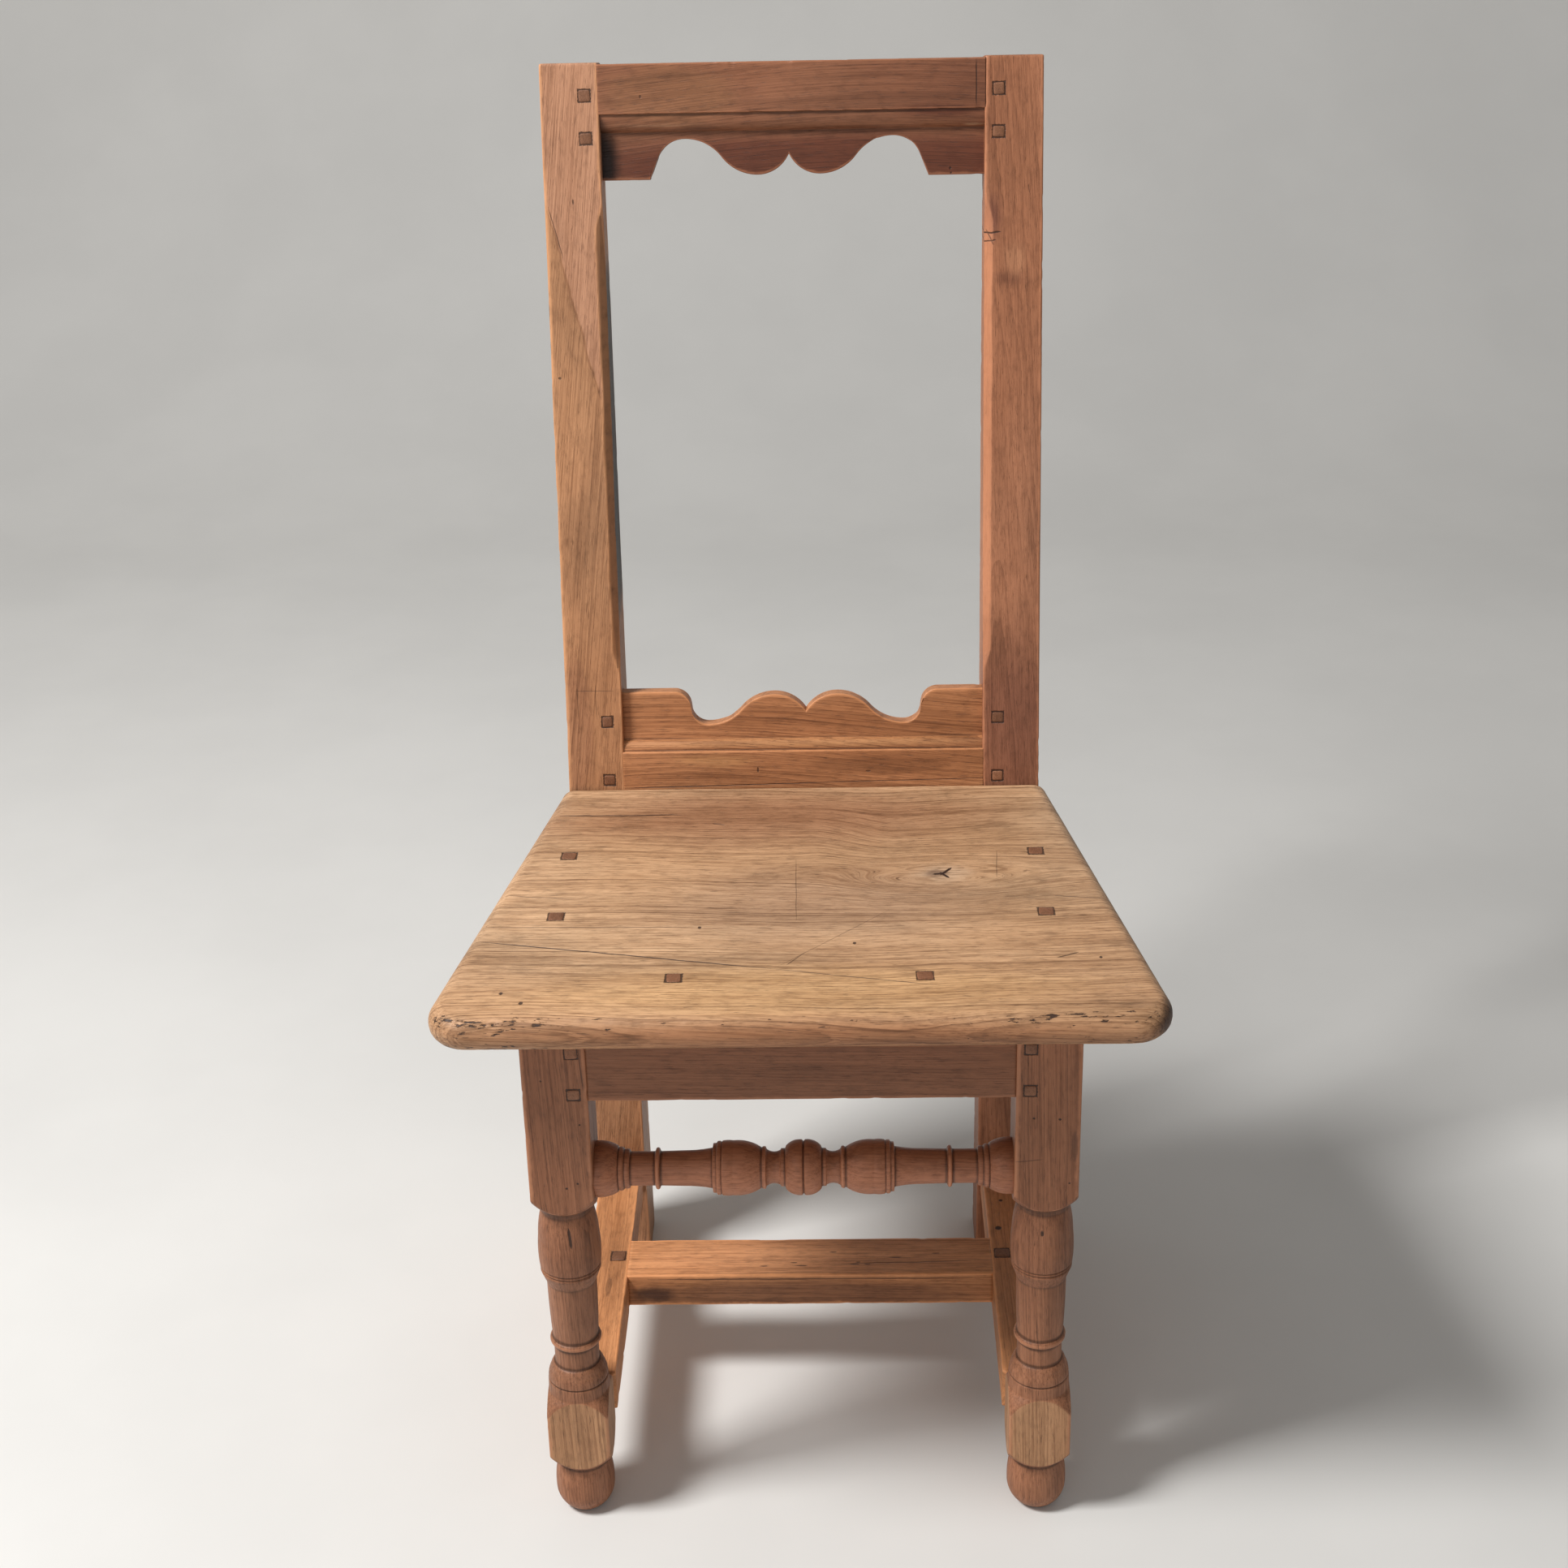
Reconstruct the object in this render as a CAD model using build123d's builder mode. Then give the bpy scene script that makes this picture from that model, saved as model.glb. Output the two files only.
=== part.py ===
from build123d import *
import math
import os

# A joined side chair in fruitwood: two raked back posts, two turned front legs, a crest
# rail and a lower back rail cut to scallops, seat rails, a plank seat, a turned front
# stretcher and a low H of plain stretchers. Every joint is a mortise and tenon, held by
# square wooden pegs. Left and right are as seen from the front. Millimetres, +X to the
# right, +Y to the back, +Z up, origin on the floor under the middle of the chair.

os.makedirs("parts", exist_ok=True)

# ------------------------------------------------------------------ overall sizes
chair_height = 1016.0  # floor to the top of the back posts
seat_height = 460.0  # floor to the top of the seat board
leg_spread = 388.0  # over the outer faces of the front legs
post_spread = 376.0  # over the outer faces of the back posts
leg_to_post = 316.0  # front face of the legs to front face of the posts

# ------------------------------------------------------------------ fits
mortise_clearance = 0.2  # on each side of a tenon
mortise_end_gap = 1.0  # past the end of a tenon
peg_clearance = 0.1  # on each side of a peg
seat_back_gap = 0.3  # between the seat board and the posts
tenon_shoulder = 6.0  # rail left above or below a tenon
arris_softening = 0.4  # taken off the corners of the turned square

# ------------------------------------------------------------------ back posts
post_width = 45.0
post_top_narrowing = 1.3  # taken off the outer face at the top
post_depth = 54.0  # below the bend
post_top_depth = 28.0  # front to back, over the end, which is cut square to the rake
post_rake = 8.0  # degrees back from upright, above the bend
back_rail_drop = 12.0  # bend of the posts and foot of the lower back rail, under the seat top
bend_radius = 140.0
kick_height = 130.0  # where the foot starts to sweep back
foot_kick = 12.0  # sweep of the front face at the floor
foot_depth = 50.0
post_chamfer_depth = 2.6  # stopped chamfer on the inner front arris
post_chamfer_runout = 22.0
post_chamfer_margin = 14.0  # from the rails to the ends of the chamfer

# ------------------------------------------------------------------ crest rail
crest_drop = 1.0  # below the top of the posts
crest_height = 85.0
crest_band = 36.5  # plain band at full thickness
crest_moulding = 13.5  # height of the moulding under the band
crest_thickness = 24.0
crest_recess = 10.0  # set-back of the scalloped edge
crest_end_flat = 38.4  # straight part of the lower edge, at each end
crest_arch_x = 77.9
crest_arch_rise = 29.5
crest_arch_radius = 21.9  # of its outer shoulder
crest_arch_turn = 68.0  # degrees that the shoulder turns before it runs straight
crest_lobe_x = 23.5
crest_lobe_rise = 2.5
crest_cusp_rise = 17.5

# ------------------------------------------------------------------ lower back rail
back_rail_height = 87.0
back_rail_band = 42.0
back_rail_moulding = 8.5
back_rail_thickness = 21.0
back_rail_recess = 7.0
back_rail_end_flat = 38.0
back_rail_trough_x = 77.7
back_rail_trough_drop = 27.0
back_rail_lobe_x = 25.0
back_rail_lobe_drop = 3.0
back_rail_cusp_drop = 16.7

# ------------------------------------------------------------------ joints of the back
back_tenon_length = 26.0
back_tenon_thickness = 8.0
back_tenon_cover = 3.0  # wood of the thin board in front of its tenon
back_peg_section = 8.0
crest_peg_depth = 24.0
back_rail_peg_depth = 30.0
crest_peg_inset = 10.5  # from the shoulder
back_rail_peg_inset = 12.0
crest_upper_peg_drop = 22.5  # below the top of the rail
crest_lower_peg_drop = 53.5
back_rail_upper_peg_rise = 67.5  # above the foot of the rail
back_rail_lower_peg_rise = 19.0

# ------------------------------------------------------------------ seat board
seat_thickness = 26.0
seat_front_width = 511.8
seat_back_width = 389.0
seat_overhang = 42.0  # past the front face of the legs
seat_corner_radius = 28.0
seat_edge_radius = 12.0
seat_peg_section = 11.6
seat_peg_depth = 56.0
front_seat_peg_x = 86.0
rear_seat_peg_y = 200.0  # from the front face of the legs
middle_seat_peg_y = 105.0

# ------------------------------------------------------------------ seat rails
rail_depth = 64.0
front_rail_thickness = 28.0
front_rail_setback = 1.5
front_rail_bead = 4.0  # rounded lower front edge
side_rail_thickness = 22.0
side_rail_inset = 7.0  # from the outer face of the legs
rear_rail_thickness = 22.0
rear_rail_setback = 6.0
seat_tenon_thickness = 8.0
front_tenon_length = 24.0
side_tenon_length = 26.0
rear_tenon_length = 24.0
rail_peg_section = 8.0
rail_peg_inset = 10.0  # from the shoulder
upper_rail_peg_drop = 24.0  # below the top of the rail
lower_rail_peg_rise = 6.5  # above the foot of the rail
front_rail_peg_depth = 30.0
side_rail_front_peg_depth = 24.0
side_rail_rear_peg_depth = 18.0
rear_rail_peg_depth = 28.0

# ------------------------------------------------------------------ turned front legs
leg_section = 46.0  # of the square stock
turned_inset = 0.15  # widest turnings stay this far inside the faces of the square
foot_flat_radius = 13.0
foot_radius = 22.2
foot_swell = 11.0  # height where the ball reaches its full radius
foot_straight = 17.0  # height of its widest part
foot_neck_radius = 19.5
foot_height = 43.0  # ball, up to its neck
foot_fillet = 4.3
lower_block_sweep = 13.2  # rounded end of the block's faces, below
lower_block_height = 32.5  # corner to corner
lower_block_top_sweep = 16.0
base_height = 9.2  # plain drum over the lower block
base_moulding = 14.8  # drum's rounded shoulder
base_moulding_radius = 18.0  # at its upper end
neck_radius = 16.5
neck_height = 19.5
bead_radius = 19.0
bead_height = 4.0
column_height = 49.5
column_radius = 17.7
bevel_height = 11.0
vase_height = 49.0
vase_belly_height = 24.0  # straight part of the vase
vase_waist_radius = 19.8
hollow_height = 10.0
upper_block_sweep = 13.5

# ------------------------------------------------------------------ turned front stretcher
stretcher_rise = 10.3  # axis above the corner of the upper block
stretcher_tenon_radius = 8.0
stretcher_tenon_length = 20.0
cup_length = 16.5
cup_radius = 20.0  # at the leg
step_length = 3.7
step_radius = 15.7
collar_length = 4.3
collar_radius = 14.2
end_shaft_length = 18.0
shaft_radius = 12.2
ring_length = 3.5
ring_radius = 15.0
shaft_flare_length = 5.5
shaft_flare_radius = 14.0
barrel_start = 64.5  # from the middle of the stretcher
barrel_step_radius = 17.5
barrel_collar_length = 2.9
barrel_swell = 45.0  # where the barrel reaches its full radius
barrel_radius = 19.5
barrel_end = 29.6
barrel_end_radius = 14.2
disc_length = 3.0
disc_radius = 15.0
cove_radius = 11.8
cove_flat = 4.4  # straight bottom of the cove
cove_end = 16.2
cove_fillet_length = 2.6
cove_fillet_radius = 13.5
ball_flat = 4.0  # half the length of its widest part
ball_half_length = 12.8
ball_radius = 19.7
ball_end_radius = 15.2

# ------------------------------------------------------------------ low stretchers
low_stretcher_rise = 6.5  # above the foot corner of the lower block
side_stretcher_width = 34.0
side_stretcher_height = 34.0
side_stretcher_inset = 14.0  # from the outer face of the legs
side_stretcher_tenon_thickness = 10.0
side_stretcher_tenon_length = 26.0
side_stretcher_tenon_shoulder = 5.0
side_stretcher_chamfer = 5.0  # depth of the stopped chamfer
side_stretcher_chamfer_runout = 30.0
front_stretcher_peg_depth = 38.0
rear_stretcher_peg_depth = 32.0
cross_stretcher_y = 162.0  # front face, from the front face of the legs
cross_stretcher_width = 48.0
cross_stretcher_height = 29.0
cross_stretcher_bevel = 3.0
cross_tenon_length = 24.0
cross_tenon_thickness = 12.0
cross_tenon_width = 30.0
cross_peg_section = 11.6
cross_peg_inset = 9.5  # from the shoulder
cross_peg_y = 27.0  # from the front face of the cross stretcher
cross_peg_depth = 25.0

# ------------------------------------------------------------------ pegs
peg_proud = 0.6
peg_chamfer = 0.8

# ------------------------------------------------------------------ worked-out places
rake = math.radians(post_rake)
bend_height = seat_height - back_rail_drop
rake_run = (chair_height - bend_height) * math.tan(rake)
overall_depth = seat_overhang + leg_to_post + rake_run + post_top_depth
leg_front_y = seat_overhang - overall_depth / 2
leg_back_y = leg_front_y + leg_section
leg_axis_y = leg_front_y + leg_section / 2
post_front_y = leg_front_y + leg_to_post

leg_outer_x = leg_spread / 2
leg_inner_x = leg_outer_x - leg_section
leg_axis_x = leg_outer_x - leg_section / 2
post_outer_x = post_spread / 2
post_inner_x = post_outer_x - post_width

rail_top = seat_height - seat_thickness
rail_bottom = rail_top - rail_depth

lower_block_foot = foot_height + foot_fillet + lower_block_sweep
lower_block_top = lower_block_foot + lower_block_height
base_bottom = lower_block_top + lower_block_top_sweep
upper_block_apex = (
    base_bottom
    + base_height
    + base_moulding
    + neck_height
    + bead_height
    + column_height
    + bevel_height
    + vase_height
    + hollow_height
)
upper_block_foot = upper_block_apex + upper_block_sweep
stretcher_z = upper_block_foot + stretcher_rise
low_stretcher_z = lower_block_foot + low_stretcher_rise
low_stretcher_top = low_stretcher_z + side_stretcher_height

side_rail_outer_x = leg_outer_x - side_rail_inset
side_rail_inner_x = side_rail_outer_x - side_rail_thickness
side_rail_middle_x = side_rail_outer_x - side_rail_thickness / 2
side_stretcher_outer_x = leg_outer_x - side_stretcher_inset
side_stretcher_inner_x = side_stretcher_outer_x - side_stretcher_width
side_stretcher_middle_x = side_stretcher_outer_x - side_stretcher_width / 2

# The raked back lies on this plane: x across, y up the slope from the bend, z out of the
# front faces of the posts.
slope_out = Vector(0, -math.cos(rake), math.sin(rake))
back_plane = Plane(origin=(0, post_front_y, bend_height), x_dir=(1, 0, 0), z_dir=slope_out)
section_plane = Plane(origin=(0, post_front_y, bend_height), x_dir=slope_out, z_dir=(-1, 0, 0))
crest_top_v = (chair_height - crest_drop - bend_height) / math.cos(rake)
crest_foot_v = crest_top_v - crest_height


def kicked(height):
    """How far the front face of a post has swept back at a height under the kick."""
    return foot_kick * (1 - height / kick_height)


# ------------------------------------------------------------------ joint helpers
def block(low, high, frame=Plane.XY, mode=Mode.ADD):
    """Box between two opposite corners of a frame, in the piece being built."""
    size = [abs(high[i] - low[i]) for i in range(3)]
    centre = [(high[i] + low[i]) / 2 for i in range(3)]
    with Locations(frame.location * Location(tuple(centre))):
        Box(*size, mode=mode)


def on_side(side, tenon):
    """A tenon that is given for the right-hand side, taken to one side."""
    low, high = tenon
    near, far = sorted((side * low[0], side * high[0]))
    return (near, low[1], low[2]), (far, high[1], high[2])


def cut_mortise(tenon, along, frame=Plane.XY):
    """Hole for a tenon: the tenon, grown by its clearance and by the gap at its end."""
    low, high = tenon
    grown = [mortise_clearance] * 3
    grown[along] = mortise_end_gap
    block(
        [low[i] - grown[i] for i in range(3)],
        [high[i] + grown[i] for i in range(3)],
        frame,
        Mode.SUBTRACT,
    )


def cut_peg_holes(places, section, depth):
    """Square holes, each on a plane that faces out of the wood."""
    width = section + 2 * peg_clearance
    for place in places:
        with Locations(place.location * Location((0, 0, -(depth + peg_clearance) / 2))):
            Box(width, width, depth + peg_clearance, mode=Mode.SUBTRACT)


def make_pegs(places, section, depth):
    """Square pegs with eased heads, one on each plane, driven in by depth."""
    with BuildPart() as peg:
        with Locations((0, 0, (peg_proud - depth) / 2)):
            Box(section, section, depth + peg_proud)
        chamfer(peg.faces().sort_by(Axis.Z)[-1].edges(), peg_chamfer)
    with BuildPart() as pegs:
        for place in places:
            with Locations(place.location):
                add(peg.part)
    return pegs


def stopped_chamfer(start, end, inward, depth, runout):
    """Take an arris down by depth, with a sloping run-out at each end."""
    arris = Vector(*end) - Vector(*start)
    plane = Plane(origin=start, x_dir=arris, z_dir=arris.cross(inward))
    with BuildSketch(plane) as waste:
        with BuildLine():
            Polyline(
                (0, 0),
                (runout, depth),
                (arris.length - runout, depth),
                (arris.length, 0),
                close=True,
            )
        make_face()
    extrude(waste.sketch, amount=2 * depth, both=True, mode=Mode.SUBTRACT)


def facing(origin, outward):
    """Plane on a face of the wood, with one edge of its square level."""
    level = Vector(0, 0, 1).cross(outward)
    x_dir = level if level.length > 0.5 else Vector(1, 0, 0)
    return Plane(origin=origin, x_dir=x_dir, z_dir=outward)


def on_slope(x, v):
    """Plane on the raked front of the posts, at a place across and up the slope."""
    return Plane(origin=back_plane.from_local_coords((x, v, 0)), x_dir=(1, 0, 0), z_dir=slope_out)


# ------------------------------------------------------------------ tenons, right-hand side
crest_tenon_front = crest_recess + back_tenon_cover
crest_tenon = (
    (post_inner_x, crest_foot_v + tenon_shoulder, -crest_tenon_front - back_tenon_thickness),
    (post_inner_x + back_tenon_length, crest_top_v - tenon_shoulder, -crest_tenon_front),
)
back_rail_tenon_front = back_rail_recess + back_tenon_cover
back_rail_tenon = (
    (post_inner_x, tenon_shoulder, -back_rail_tenon_front - back_tenon_thickness),
    (
        post_inner_x + back_tenon_length,
        back_rail_height - tenon_shoulder,
        -back_rail_tenon_front,
    ),
)
front_rail_y = leg_front_y + front_rail_setback
front_tenon_y = front_rail_y + seat_tenon_thickness - mortise_end_gap
front_rail_tenon = (
    (leg_inner_x, front_tenon_y, rail_bottom),
    (
        leg_inner_x + front_tenon_length,
        front_tenon_y + seat_tenon_thickness,
        rail_top - tenon_shoulder,
    ),
)
side_tenon_x = side_rail_middle_x - seat_tenon_thickness / 2
side_rail_front_tenon = (
    (side_tenon_x, leg_back_y - side_tenon_length, rail_bottom + tenon_shoulder),
    (side_tenon_x + seat_tenon_thickness, leg_back_y, rail_top - tenon_shoulder),
)
side_rail_rear_tenon = (
    (side_tenon_x, post_front_y, rail_bottom + tenon_shoulder),
    (
        side_tenon_x + seat_tenon_thickness,
        post_front_y + side_tenon_length,
        rail_top - tenon_shoulder,
    ),
)
rear_rail_y = post_front_y + rear_rail_setback
rear_tenon_y = rear_rail_y + (rear_rail_thickness - seat_tenon_thickness) / 2
rear_rail_tenon = (
    (post_inner_x, rear_tenon_y, rail_bottom + tenon_shoulder),
    (
        post_inner_x + rear_tenon_length,
        rear_tenon_y + seat_tenon_thickness,
        rail_top - tenon_shoulder,
    ),
)
stretcher_tenon_x = side_stretcher_middle_x - side_stretcher_tenon_thickness / 2
stretcher_tenon_z = low_stretcher_z + side_stretcher_tenon_shoulder
stretcher_tenon_top = low_stretcher_top - side_stretcher_tenon_shoulder
rear_shoulder_y = post_front_y + kicked(low_stretcher_z)
side_stretcher_front_tenon = (
    (stretcher_tenon_x, leg_back_y - side_stretcher_tenon_length, stretcher_tenon_z),
    (stretcher_tenon_x + side_stretcher_tenon_thickness, leg_back_y, stretcher_tenon_top),
)
side_stretcher_rear_tenon = (
    (stretcher_tenon_x, post_front_y, stretcher_tenon_z),
    (
        stretcher_tenon_x + side_stretcher_tenon_thickness,
        rear_shoulder_y + side_stretcher_tenon_length,
        stretcher_tenon_top,
    ),
)
cross_front_y = leg_front_y + cross_stretcher_y
cross_middle_y = cross_front_y + cross_stretcher_width / 2
cross_foot_z = low_stretcher_top - cross_stretcher_height
cross_middle_z = low_stretcher_top - cross_stretcher_height / 2
cross_tenon = (
    (
        side_stretcher_inner_x,
        cross_middle_y - cross_tenon_width / 2,
        cross_middle_z - cross_tenon_thickness / 2,
    ),
    (
        side_stretcher_inner_x + cross_tenon_length,
        cross_middle_y + cross_tenon_width / 2,
        cross_middle_z + cross_tenon_thickness / 2,
    ),
)

# ------------------------------------------------------------------ places of the pegs
upper_rail_peg_z = rail_top - upper_rail_peg_drop
lower_rail_peg_z = rail_bottom + lower_rail_peg_rise
middle_rail_peg_z = rail_bottom + tenon_shoulder + 2 * rail_peg_section
stretcher_peg_z = (stretcher_tenon_z + stretcher_tenon_top) / 2


def crest_peg_places(side):
    x = side * (post_inner_x + crest_peg_inset)
    drops = (crest_upper_peg_drop, crest_lower_peg_drop)
    return [on_slope(x, crest_top_v - drop) for drop in drops]


def back_rail_peg_places(side):
    x = side * (post_inner_x + back_rail_peg_inset)
    rises = (back_rail_upper_peg_rise, back_rail_lower_peg_rise)
    return [on_slope(x, rise) for rise in rises]


def front_rail_peg_places(side):
    x = side * (leg_inner_x + rail_peg_inset)
    heights = (upper_rail_peg_z, lower_rail_peg_z)
    return [facing((x, leg_front_y, z), Vector(0, -1, 0)) for z in heights]


def side_rail_front_peg_places(side):
    y = leg_back_y - rail_peg_inset
    heights = (upper_rail_peg_z, middle_rail_peg_z)
    return [facing((side * leg_outer_x, y, z), Vector(side, 0, 0)) for z in heights]


def side_rail_rear_peg_places(side):
    y = post_front_y + rail_peg_inset
    heights = (upper_rail_peg_z, middle_rail_peg_z)
    return [facing((side * post_outer_x, y, z), Vector(side, 0, 0)) for z in heights]


def rear_rail_peg_places(side):
    x = side * (post_inner_x + rail_peg_inset)
    heights = (upper_rail_peg_z, middle_rail_peg_z)
    return [facing((x, post_front_y, z), Vector(0, -1, 0)) for z in heights]


def side_stretcher_front_peg_place(side):
    origin = (side * leg_outer_x, leg_back_y - rail_peg_inset, stretcher_peg_z)
    return facing(origin, Vector(side, 0, 0))


def side_stretcher_rear_peg_place(side):
    origin = (side * post_outer_x, rear_shoulder_y + rail_peg_inset, stretcher_peg_z)
    return facing(origin, Vector(side, 0, 0))


def cross_peg_place(side):
    x = side * (side_stretcher_inner_x + cross_peg_inset)
    return Plane(origin=(x, cross_front_y + cross_peg_y, low_stretcher_top))


def side_seat_peg_places(side):
    distances = (middle_seat_peg_y, rear_seat_peg_y)
    x = side * side_rail_middle_x
    return [Plane(origin=(x, leg_front_y + y, seat_height)) for y in distances]


def front_seat_peg_place(side):
    y = front_rail_y + front_rail_thickness / 2
    return Plane(origin=(side * front_seat_peg_x, y, seat_height))


# ------------------------------------------------------------------ back posts
def make_back_post(side):
    """Sawn post: upright to the seat, raked above it and swept back at the foot."""
    top_y = post_front_y + rake_run
    top_back_y = top_y + post_top_depth
    top_back_z = chair_height - post_top_depth * math.tan(rake)
    outer_top_x = side * (post_outer_x - post_top_narrowing)
    with BuildPart() as post:
        with BuildSketch(Plane.YZ.offset(side * post_inner_x)):
            with BuildLine():
                Polyline(
                    (post_front_y + foot_kick, 0),
                    (post_front_y, kick_height),
                    (post_front_y, bend_height),
                    (top_y, chair_height),
                    (top_back_y, top_back_z),
                    (post_front_y + post_depth, bend_height),
                    (post_front_y + post_depth, kick_height),
                    (post_front_y + foot_kick + foot_depth, 0),
                    close=True,
                )
            make_face()
            bends = vertices().filter_by_position(Axis.Y, kick_height, bend_height)
            fillet(bends, radius=bend_radius)
        extrude(amount=side * post_width)
        with BuildSketch(Plane.XZ):
            with BuildLine():
                Polyline(
                    (side * post_inner_x, 0),
                    (side * post_outer_x, 0),
                    (side * post_outer_x, bend_height),
                    (outer_top_x, chair_height),
                    (side * post_inner_x, chair_height),
                    close=True,
                )
            make_face()
        extrude(amount=overall_depth, both=True, mode=Mode.INTERSECT)

        chamfer_start = back_rail_height + post_chamfer_margin
        chamfer_end = crest_foot_v - post_chamfer_margin
        stopped_chamfer(
            back_plane.from_local_coords((side * post_inner_x, chamfer_start, 0)),
            back_plane.from_local_coords((side * post_inner_x, chamfer_end, 0)),
            Vector(side, 0, 0) - slope_out,
            post_chamfer_depth,
            post_chamfer_runout,
        )

        cut_mortise(on_side(side, crest_tenon), 0, back_plane)
        cut_mortise(on_side(side, back_rail_tenon), 0, back_plane)
        cut_mortise(on_side(side, rear_rail_tenon), 0)
        cut_mortise(on_side(side, side_rail_rear_tenon), 1)
        cut_mortise(on_side(side, side_stretcher_rear_tenon), 1)
        cut_peg_holes(crest_peg_places(side), back_peg_section, crest_peg_depth)
        cut_peg_holes(back_rail_peg_places(side), back_peg_section, back_rail_peg_depth)
        cut_peg_holes(rear_rail_peg_places(side), rail_peg_section, rear_rail_peg_depth)
        cut_peg_holes(side_rail_rear_peg_places(side), rail_peg_section, side_rail_rear_peg_depth)
        stretcher_peg = [side_stretcher_rear_peg_place(side)]
        cut_peg_holes(stretcher_peg, rail_peg_section, rear_stretcher_peg_depth)
    return post


# ------------------------------------------------------------------ rails of the back
def moulded_band(foot_v, top_v, edge_v, thickness, recess):
    """Full-thickness band whose moulding falls back to the thin board, along the rail.

    The moulding runs from foot_v, where it meets the thin board, to edge_v.
    """
    way = math.copysign(1, edge_v - foot_v)
    fillet_step = recess / 5
    with BuildSketch(section_plane) as section:
        with BuildLine():
            face = Polyline((-fillet_step, edge_v), (0, edge_v), (0, top_v), (-thickness, top_v))
            back = Line(face @ 1, (-thickness, foot_v))
            Line(back @ 1, (-recess, foot_v))
            TangentArc((-fillet_step, edge_v), (-recess, foot_v), tangent=(0, -way))
        make_face()
    extrude(section.sketch, amount=post_inner_x, both=True)


def s_curve(start, end):
    """Two equal arcs, level at both ends, that meet half-way."""
    middle = ((start[0] + end[0]) / 2, (start[1] + end[1]) / 2)
    way = math.copysign(1, end[0] - start[0])
    TangentArc(start, middle, tangent=(way, 0))
    TangentArc(end, middle, tangent=(-way, 0))


def make_crest_rail():
    """Crest rail: a band along the top, a moulding, and a thin edge cut to two arches."""
    band_foot_v = crest_top_v - crest_band
    moulding_foot_v = band_foot_v - crest_moulding
    flat_x = post_inner_x - crest_end_flat
    arch_v = crest_foot_v + crest_arch_rise
    lobe_v = crest_foot_v + crest_lobe_rise
    cusp_v = crest_foot_v + crest_cusp_rise
    with BuildPart() as rail:
        moulded_band(moulding_foot_v, crest_top_v, band_foot_v, crest_thickness, crest_recess)
        with BuildSketch(back_plane.offset(-crest_thickness)):
            with BuildLine():
                Polyline(
                    (flat_x, crest_foot_v),
                    (post_inner_x, crest_foot_v),
                    (post_inner_x, moulding_foot_v),
                    (0, moulding_foot_v),
                    (0, cusp_v),
                )
                TangentArc((crest_lobe_x, lobe_v), (0, cusp_v), tangent=(-1, 0))
                s_curve((crest_lobe_x, lobe_v), (crest_arch_x, arch_v))
                shoulder = JernArc(
                    (crest_arch_x, arch_v), (1, 0), crest_arch_radius, -crest_arch_turn
                )
                Line(shoulder @ 1, (flat_x, crest_foot_v))
            make_face()
            mirror(about=Plane.YZ)
        extrude(amount=crest_thickness - crest_recess)
        for side in (-1, 1):
            tenon = on_side(side, crest_tenon)
            block(*tenon, frame=back_plane)
            cut_peg_holes(crest_peg_places(side), back_peg_section, crest_peg_depth)
    return rail


def make_lower_back_rail():
    """Lower back rail: a band behind the seat, a moulding, and a scalloped upper edge."""
    moulding_top_v = back_rail_band + back_rail_moulding
    top_v = back_rail_height
    flat_x = post_inner_x - back_rail_end_flat
    trough_v = top_v - back_rail_trough_drop
    lobe_v = top_v - back_rail_lobe_drop
    cusp_v = top_v - back_rail_cusp_drop
    with BuildPart() as rail:
        moulded_band(moulding_top_v, 0, back_rail_band, back_rail_thickness, back_rail_recess)
        with BuildSketch(back_plane.offset(-back_rail_thickness)):
            with BuildLine():
                Polyline(
                    (0, cusp_v),
                    (0, moulding_top_v),
                    (post_inner_x, moulding_top_v),
                    (post_inner_x, top_v),
                    (flat_x, top_v),
                )
                s_curve((flat_x, top_v), (back_rail_trough_x, trough_v))
                s_curve((back_rail_trough_x, trough_v), (back_rail_lobe_x, lobe_v))
                TangentArc((back_rail_lobe_x, lobe_v), (0, cusp_v), tangent=(-1, 0))
            make_face()
            mirror(about=Plane.YZ)
        extrude(amount=back_rail_thickness - back_rail_recess)
        for side in (-1, 1):
            tenon = on_side(side, back_rail_tenon)
            block(*tenon, frame=back_plane)
            cut_peg_holes(back_rail_peg_places(side), back_peg_section, back_rail_peg_depth)
    return rail


# ------------------------------------------------------------------ seat board
def make_seat_board():
    """Plank seat that widens to the front, with a round nose on three sides."""
    seat_back_y = post_front_y - seat_back_gap
    seat_front_y = leg_front_y - seat_overhang
    with BuildPart() as seat:
        with BuildSketch(Plane.XY.offset(rail_top)):
            with BuildLine():
                Polyline(
                    (-seat_front_width / 2, seat_front_y),
                    (seat_front_width / 2, seat_front_y),
                    (seat_back_width / 2, seat_back_y),
                    (-seat_back_width / 2, seat_back_y),
                    close=True,
                )
            make_face()
            fillet(vertices().group_by(Axis.Y)[0], radius=seat_corner_radius)
        extrude(amount=seat_thickness)
        nosed = [
            edge
            for face in (seat.faces().sort_by(Axis.Z)[0], seat.faces().sort_by(Axis.Z)[-1])
            for edge in face.edges().sort_by(Axis.Y)[:-1]
        ]
        fillet(nosed, radius=seat_edge_radius)
        for side in (-1, 1):
            cut_peg_holes(side_seat_peg_places(side), seat_peg_section, seat_peg_depth)
            cut_peg_holes([front_seat_peg_place(side)], seat_peg_section, seat_peg_depth)
    return seat


# ------------------------------------------------------------------ front legs
def turned_curve(start, end, tangent):
    """Arc of a turning's outline, cut in two straight steps."""
    arc = TangentArc(start, end, tangent=tangent, mode=Mode.PRIVATE)
    return Polyline(start, arc @ 0.5, end)


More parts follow.
